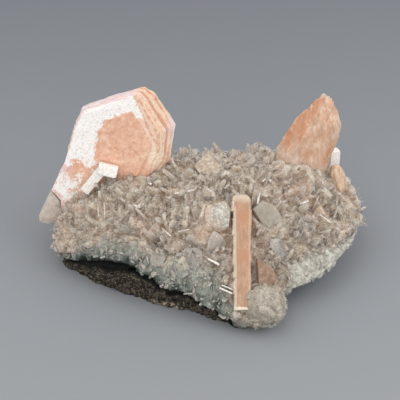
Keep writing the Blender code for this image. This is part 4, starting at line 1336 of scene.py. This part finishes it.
def white_crystals():
    """The white apophyllites, as a mapping from each solid's name to its piece."""
    left = Plane(LARGE_PLANE.place((-5.7, 3.0, 3.9))[0], LARGE_LEAN, LARGE_YAW, -36.0)
    right = Plane(LARGE_PLANE.place((-1.1, 6.9, 4.2))[0], LARGE_LEAN + 6.0, 0.0, -14.0)
    pair = joined("white_twin_blocks", [
        hull_piece("left", left.place(block_points(3.0, 9.6, 2.8, 0.6))),
        hull_piece("right", right.place(block_points(6.2, 3.6, 3.0, 0.7))),
    ])
    front_plane = Plane(WHITE_FRONT_AT, 40.0)
    outline = [(p[0], p[1], 0.0) for p in WHITE_FRONT_FACET]
    outline += [(p[0], p[1], -2.4) for p in WHITE_FRONT_GIRDLE]
    outline += [(p[0] * 0.8, p[1] * 0.8, -5.0) for p in WHITE_FRONT_GIRDLE]
    front = hull_piece("white_front_block", front_plane.place(outline))
    places = np.array([v.co for v in front.data.vertices]) / MM
    carry(front, salted=np.ones(len(places)), rosy=smoothstep(-front_plane.local(places)[:, 2], 0.2, 0.5))
    rear_plane = Plane((43.3, 16.5, 22.6), 6.0, 24.0, -6.0)
    rear = hull_piece("white_right_block", rear_plane.place(block_points(3.4, 9.6, 3.2, 0.8)))
    return {"white_twin_left": pair, "white_crystal_front": front, "white_crystal_right": rear}


def flat_crystals():
    """The cream, mint and pink plates, as a mapping from each solid's name to its piece."""
    cream = [(0.0, 4.8), (3.7, 2.2), (4.4, -3.4), (-1.2, -5.0), (-4.9, 0.0)]
    mint = [(-4.3, 1.9), (-1.0, 4.2), (2.3, 2.7), (4.3, -1.1), (3.1, -3.4), (0.0, -4.2), (-2.3, -2.1)]
    pink = [(-2.0, 5.8), (2.2, 3.0), (3.6, -0.6), (-1.4, -5.4), (-2.2, -4.0)]
    placed = {
        "cream_plate_rear": (Plane((3.0, 6.2, 29.0), 42.0, 4.0), cream, 4.4),
        "mint_crystal": (Plane((21.2, -9.9, 22.1), 46.0, 8.0), mint, 3.8),
        "pink_crystal_front": (Plane((20.2, -30.7, 13.8), 44.0, 8.0), pink, 4.0),
    }
    return {
        node: hull_piece(node + "_plate", plane.place(plate_points(outline, thick)))
        for node, (plane, outline, thick) in placed.items()
    }


def plates(name, centres, facing, up, sizes, rng):
    """A joined mesh of thin many-sided plates, from their reach across, reach up and thickness."""
    sides = 7
    across = unit(np.cross(up, facing))
    up = np.cross(facing, across)
    wide, tall, thick = (sizes[:, k : k + 1] for k in range(3))
    angles = (np.arange(sides) + rng.uniform(-0.28, 0.28, (len(centres), sides))) * 2 * math.pi / sides
    reach = rng.uniform(0.86, 1.08, (len(centres), sides))
    points = [centres + facing * thick * 0.45]
    for depth, grow in ((0.45, 0.76), (0.4, 0.92), (0.0, 1.0), (-0.5, 0.92)):
        for k in range(sides):
            flat = across * wide * np.cos(angles[:, k : k + 1]) + up * tall * np.sin(angles[:, k : k + 1])
            points.append(centres + flat * reach[:, k : k + 1] * grow + facing * thick * depth)
    points.append(centres - facing * thick * 0.5)
    each = len(points)
    points = np.stack(points, 1)
    offset = points - centres[:, None]
    grain = np.stack((
        np.einsum("nij,nj->ni", offset, across),
        np.einsum("nij,nj->ni", offset, up),
        np.broadcast_to(np.arange(len(points))[:, None] * 5.3, (len(points), each)),
    ), 2).reshape(-1, 3)
    faces = []
    for n in range(len(points)):
        base = n * each
        for k in range(sides):
            j = (k + 1) % sides
            faces.append((base, base + 1 + k, base + 1 + j))
            for ring in range(3):
                low = base + 1 + ring * sides
                faces.append((low + k, low + sides + k, low + sides + j, low + j))
            faces.append((base + each - 1, base + 1 + 3 * sides + j, base + 1 + 3 * sides + k))
    # How near each ring lies to the plate's edge, for the painted rim highlights.
    rim = [0.0] + [0.3] * sides + [0.95] * sides + [1.0] * sides + [0.4] * sides + [0.0]
    numbers = {
        "tone": np.repeat(rng.uniform(0.6, 1.0, len(points)), each),
        "warm": np.repeat(warmth(centres, rng), each),
        "rim": np.tile(rim, len(points)),
        "grain": grain,
    }
    return mesh_piece(name, points.reshape(-1, 3), faces, numbers)


# The larger plates that lie in the crust near the front: middle, reach across and up, lean, yaw and roll.
FRONT_PLATES = [
    ((5.2, -21.4, 18.8), (3.2, 4.6), (40.0, 18.0, -16.0)),
    ((-3.2, -24.8, 16.4), (4.9, 3.9), (42.0, -4.0, 8.0)),
    ((-13.5, -24.0, 16.0), (2.8, 3.4), (40.0, -12.0, 0.0)),
    ((25.0, -19.6, 15.2), (3.2, 4.4), (40.0, 16.0, 20.0)),
    ((-30.8, -14.8, 15.4), (1.4, 3.4), (44.0, -20.0, -26.0)),
    ((-21.0, -15.2, 20.2), (4.6, 2.0), (48.0, -6.0, -10.0)),
    ((6.8, -29.8, 11.8), (3.0, 3.4), (36.0, 0.0, 0.0)),
    ((34.0, -11.0, 17.4), (3.0, 3.8), (46.0, 20.0, 30.0)),
    ((-6.5, -11.6, 24.6), (3.0, 2.6), (60.0, 0.0, 30.0)),
]

# White slivers placed where glints are, painted white as painted highlights: both ends and the width.
SLIVERS = [
    ((-8.2, -6.2, 27.4), (-1.6, -4.6, 27.6), 0.7), ((-32.4, -4.4, 22.6), (-32.1, -8.2, 20.2), 0.35),
    ((-30.4, -5.0, 23.0), (-30.0, -9.8, 20.5), 0.35), ((-16.4, -0.9, 27.5), (-15.3, -1.5, 27.5), 0.8),
    ((-21.1, -8.5, 24.7), (-18.8, -9.6, 24.6), 0.8), ((-18.6, -8.6, 25.3), (-20.3, -10.2, 24.1), 0.7),
    ((33.9, 9.0, 24.8), (34.3, 6.9, 24.4), 0.7), ((20.8, 3.2, 26.8), (22.7, 1.8, 26.2), 0.9),
    ((19.8, 1.4, 26.3), (21.7, 3.7, 26.7), 0.7), ((23.4, 7.2, 26.9), (26.6, 5.0, 26.1), 0.4),
    ((-3.4, -10.8, 25.7), (-4.1, -14.3, 24.3), 0.5), ((2.2, -25.0, 16.6), (6.0, -26.7, 15.4), 0.9),
    ((18.2, -6.6, 23.4), (18.8, -3.0, 25.0), 0.9), ((5.9, -32.6, 11.2), (9.9, -34.5, 10.4), 0.8),
    ((6.6, -31.8, 11.6), (10.2, -33.6, 11.2), 0.6), ((16.0, 6.0, 27.9), (18.6, 8.2, 27.8), 0.6),
    ((31.8, -3.9, 21.4), (34.6, -2.2, 21.4), 0.6), ((-12.0, -16.8, 22.2), (-9.0, -19.5, 20.9), 0.4),
    ((-7.0, -18.2, 21.6), (-3.6, -17.4, 22.0), 0.35), ((38.0, -6.0, 18.8), (41.5, -8.5, 17.6), 0.5),
]


def front_plates():
    """The larger plates near the front."""
    rng = np.random.default_rng(14)
    planes = [Plane(at, *turns) for at, _, turns in FRONT_PLATES]
    sizes = np.array([(*reach, 0.45) for _, reach, _ in FRONT_PLATES])
    centres = np.array([plane.at - 0.6 * plane.out for plane in planes])
    facing = np.array([plane.out for plane in planes])
    return plates("crust_front_plates", centres, facing, np.array([plane.up for plane in planes]), sizes, rng)


def slivers():
    """The white slivers: painted highlights that stand for glints."""
    start = np.array([s[0] for s in SLIVERS])
    end = np.array([s[1] for s in SLIVERS])
    long = np.linalg.norm(end - start, axis=1)
    wide = np.array([s[2] for s in SLIVERS])
    facing = np.tile((0.0, -0.6, 0.8), (len(start), 1))
    sizes = np.stack((0.8 * wide, 0.4 * wide, long), 1)
    points, faces, _ = laths(0.55 * start + 0.45 * end, end - start, facing, sizes, ["roof"] * len(start))
    return mesh_piece("crust_painted_glints", points, faces)


def rosette():
    """Crystals that stand out from a ball at the front corner."""
    rng = np.random.default_rng(17)
    count = 36
    ways = unit(rng.normal(size=(count, 3)))
    places = np.array(ROSETTE_AT) + ways * (ROSETTE_RADIUS - 0.2)
    keep = places[:, 2] > 1.0
    return places[keep], ways[keep]


def rosette_core():
    """The ball under the rosette's crystals."""
    shape = bmesh.new()
    bmesh.ops.create_icosphere(shape, subdivisions=6, radius=ROSETTE_RADIUS - 0.4)
    places = np.array([v.co for v in shape.verts]) + np.array(ROSETTE_AT)
    faces = [tuple(v.index for v in f.verts) for f in shape.faces]
    shape.free()
    out = unit(places - np.array(ROSETTE_AT))
    layers = [(7.0, (0.42, 0.3, 0.16), 0.0, 8), (4.6, (0.42, 0.34, 0.2), 0.0, 9)]
    height, numbers = intergrown(places, out, layers)
    numbers["warm"] = warmth(places)
    places += out * (0.45 + 0.3 * height)[:, None]
    places[:, 2] = np.maximum(places[:, 2], 0.3)
    return mesh_piece("rosette_core", places, faces, numbers)


def stage_and_light():
    """A grey floor with painted light falloff, darker towards the back, soft studio light and the camera."""
    floor_mesh = bpy.data.meshes.new("floor")
    corners = [(x * FLOOR_REACH, y * FLOOR_REACH, 0) for x, y in ((-1, -1), (1, -1), (1, 1), (-1, 1))]
    floor_mesh.from_pydata(corners, [], [(0, 1, 2, 3)])
    floor = add_object("floor", floor_mesh)
    look = Look("floor", roughness=0.85)
    # Painted light falloff: the floor's colour darkens towards the back and lightens towards the front and
    # the right.
    near = look.maths("MULTIPLY_ADD", look.coordinate("Y"), -0.0028, 0.5)
    near = look.plus(near, look.times(look.coordinate("X"), 0.0002))
    greys = [(0.0, (0.146, 0.157, 0.178)), (0.5, (0.236, 0.250, 0.271)), (1.0, (0.29, 0.305, 0.32))]
    look.set("Base Color", look.ramp(near, greys, linear=True))
    floor.data.materials.append(look.material)

    for name, at, size, power in LAMPS:
        data = bpy.data.lights.new(name, "AREA")
        data.shape = "DISK"
        data.size = size
        data.energy = power
        lamp = add_object(name, data)
        lamp.location = at
        lamp.rotation_euler = (Vector(at) - Vector((0, 0, 0.02))).to_track_quat("Z", "Y").to_euler()
    world = bpy.data.worlds.new("room")
    world.use_nodes = True
    room = world.node_tree.nodes["Background"]
    room.inputs["Color"].default_value = (1.0, 0.99, 0.97, 1.0)
    room.inputs["Strength"].default_value = ROOM_STRENGTH
    bpy.context.scene.world = world
    bpy.context.scene.view_settings.view_transform = "Standard"

    data = bpy.data.cameras.new("camera")
    data.sensor_width = SENSOR
    data.lens = SENSOR * CAMERA_DISTANCE / (IMAGE_SIDE * PIXEL)
    camera = add_object("camera", data)
    angle = math.radians(CAMERA_ELEVATION)
    back = Vector((0.0, -math.cos(angle), math.sin(angle)))
    camera.location = Vector(CAMERA_TARGET) * MM + back * CAMERA_DISTANCE * MM
    camera.rotation_euler = back.to_track_quat("Z", "Y").to_euler()
    bpy.context.scene.camera = camera


# How finely the band and the crust are cut round, and how slender the crust's large crystals are.
BAND_SEGMENTS = 620
CRUST_SEGMENTS = 640
LARGE_LATH_SCALE = (0.5, 0.5, 0.95)

# The small crystals of the crust: name, look, spacing, seed, number, widths, lengths and tilts.
SMALL_CRYSTALS = [
    ("crust_medium_laths", "glassy", 4.0, 21, 300, (0.6, 1.4), (3.4, 6.2), (0.7, 2.4)),
    ("crust_small_laths", "glassy", 2.0, 22, 1300, (0.3, 0.9), (2.0, 3.9), (0.8, 2.8)),
    ("crust_needles", "needle", 1.3, 23, 3400, (0.14, 0.28), (1.4, 3.2), (1.6, 4.5)),
]


def basalt_fine(points, _):
    """The basalt's small lumps and pits."""
    pits = np.abs(lumps(points, 1.6, 6.0))
    return 0.35 * lumps(points, 1.0, 2.0) - 0.7 * np.clip(0.12 - pits, 0, 1) * 6.0, {}


def band_fine(points, out):
    """The chalcedony's small grains."""
    layers = [(3.0, (0.4, 0.26, 0.2), 0.0, 5), (1.8, (0.4, 0.3, 0.2), 0.0, 6)]
    height, numbers = intergrown(points, out, layers)
    return 0.3 + 0.5 * height, numbers


def crust_fine(points, out):
    """The crust's intergrown crystals, with a mound of them before the pointed crystal."""
    height, numbers = intergrown(points, out, [
        (6.6, (0.42, 0.24, 0.12), 0.0, 1), (4.8, (0.44, 0.24, 0.12), 0.1, 2),
        (3.4, (0.46, 0.22, 0.13), 0.1, 3), (2.2, (0.5, 0.22, 0.15), 0.0, 4),
    ])
    beside = points[:, :2] - np.array(POINTED_FOOT)
    mound = 4.4 * np.exp(-(beside[:, 0] / 8.5) ** 2 - (beside[:, 1] / 3.2) ** 2)
    return 0.2 + 0.7 * height + mound, numbers


def build_rock(looks):
    """The three layers of rock and the crystals that grow on them."""
    basalt = rock_shell("basalt_base", (400, 34, 10), beyond_basalt, basalt_fine, lowest=0.0, smooth=True)[0]
    dress(basalt, looks["basalt"], "basalt", "basalt_matrix")
    rings = (BAND_SEGMENTS, 60, 24)
    band, *band_skin = rock_shell("chalcedony_band", rings, beyond_chalcedony, band_fine)
    dress(band, looks["chalcedony"], "chalcedony", "chalcedony_layer")
    rings = (CRUST_SEGMENTS, 32, 114)
    ground, *crust_skin = rock_shell("crust_ground", rings, beyond_crust, crust_fine)
    dress(ground, looks["ground"], "druse", "druse_crust")

    places, axes, faces, sizes, tips = crust_laths()
    corners, made, grain = laths(places, axes, faces, sizes * LARGE_LATH_SCALE, tips)
    numbers = lath_numbers(places, grain, np.random.default_rng(3))
    dress(mesh_piece("crust_large_laths", corners, made, numbers), looks["glassy"], "druse")

    for name, look, spacing, seed, wanted, width, length, tilt in SMALL_CRYSTALS:
        here, ways = scattered(*crust_skin, CRUST_SEGMENTS, spacing, seed, wanted)
        dress(grown_laths(name, here, ways, seed, width, length, tilt, 0.25, 0.1), looks[look], "druse")
    dress(front_plates(), looks["ground"], "druse")
    dress(slivers(), looks["painted_glint"], "druse")
    here, ways = scattered(*band_skin, BAND_SEGMENTS, 1.8, 24, 900)
    grains = grown_laths("band_grains", here, ways, 24, (0.5, 1.8), (1.4, 3.0), (1.2, 3.0), 0.4, 0.0)
    dress(grains, looks["green"], "chalcedony")

    dress(rosette_core(), looks["ball"], "druse")
    here, ways = rosette()
    spikes = grown_laths("rosette_laths", here, ways, 25, (0.2, 0.7), (1.0, 2.0), (2.5, 6.0), 0.3, 0.0)
    dress(spikes, looks["ball"], "druse")


def build_crystals(looks):
    """The crystals that have solids of their own."""
    dress(large_stilbite(), looks["stilbite_large"], "stilbite", "stilbite_large")
    dress(pointed_stilbite(), looks["stilbite_pointed"], "stilbite", "stilbite_pointed")
    dress(blade_stilbite(), looks["stilbite_blade"], "stilbite", "stilbite_blade")
    dress(barrel_stilbite(), looks["stilbite_golden"], "stilbite", "stilbite_barrel")
    dress(clear_crystal(), looks["clear"], "clear_apophyllite", "clear_crystal_left")
    for node, piece in white_crystals().items():
        dress(piece, looks["white"], "white_apophyllite", node)
    flat = flat_crystals()
    dress(flat["cream_plate_rear"], looks["cream"], "white_apophyllite", "cream_plate_rear")
    dress(flat["mint_crystal"], looks["mint"], "clear_apophyllite", "mint_crystal")
    dress(flat["pink_crystal_front"], looks["pink"], "stilbite", "pink_crystal_front")


looks = make_looks()
build_rock(looks)
build_crystals(looks)
stage_and_light()
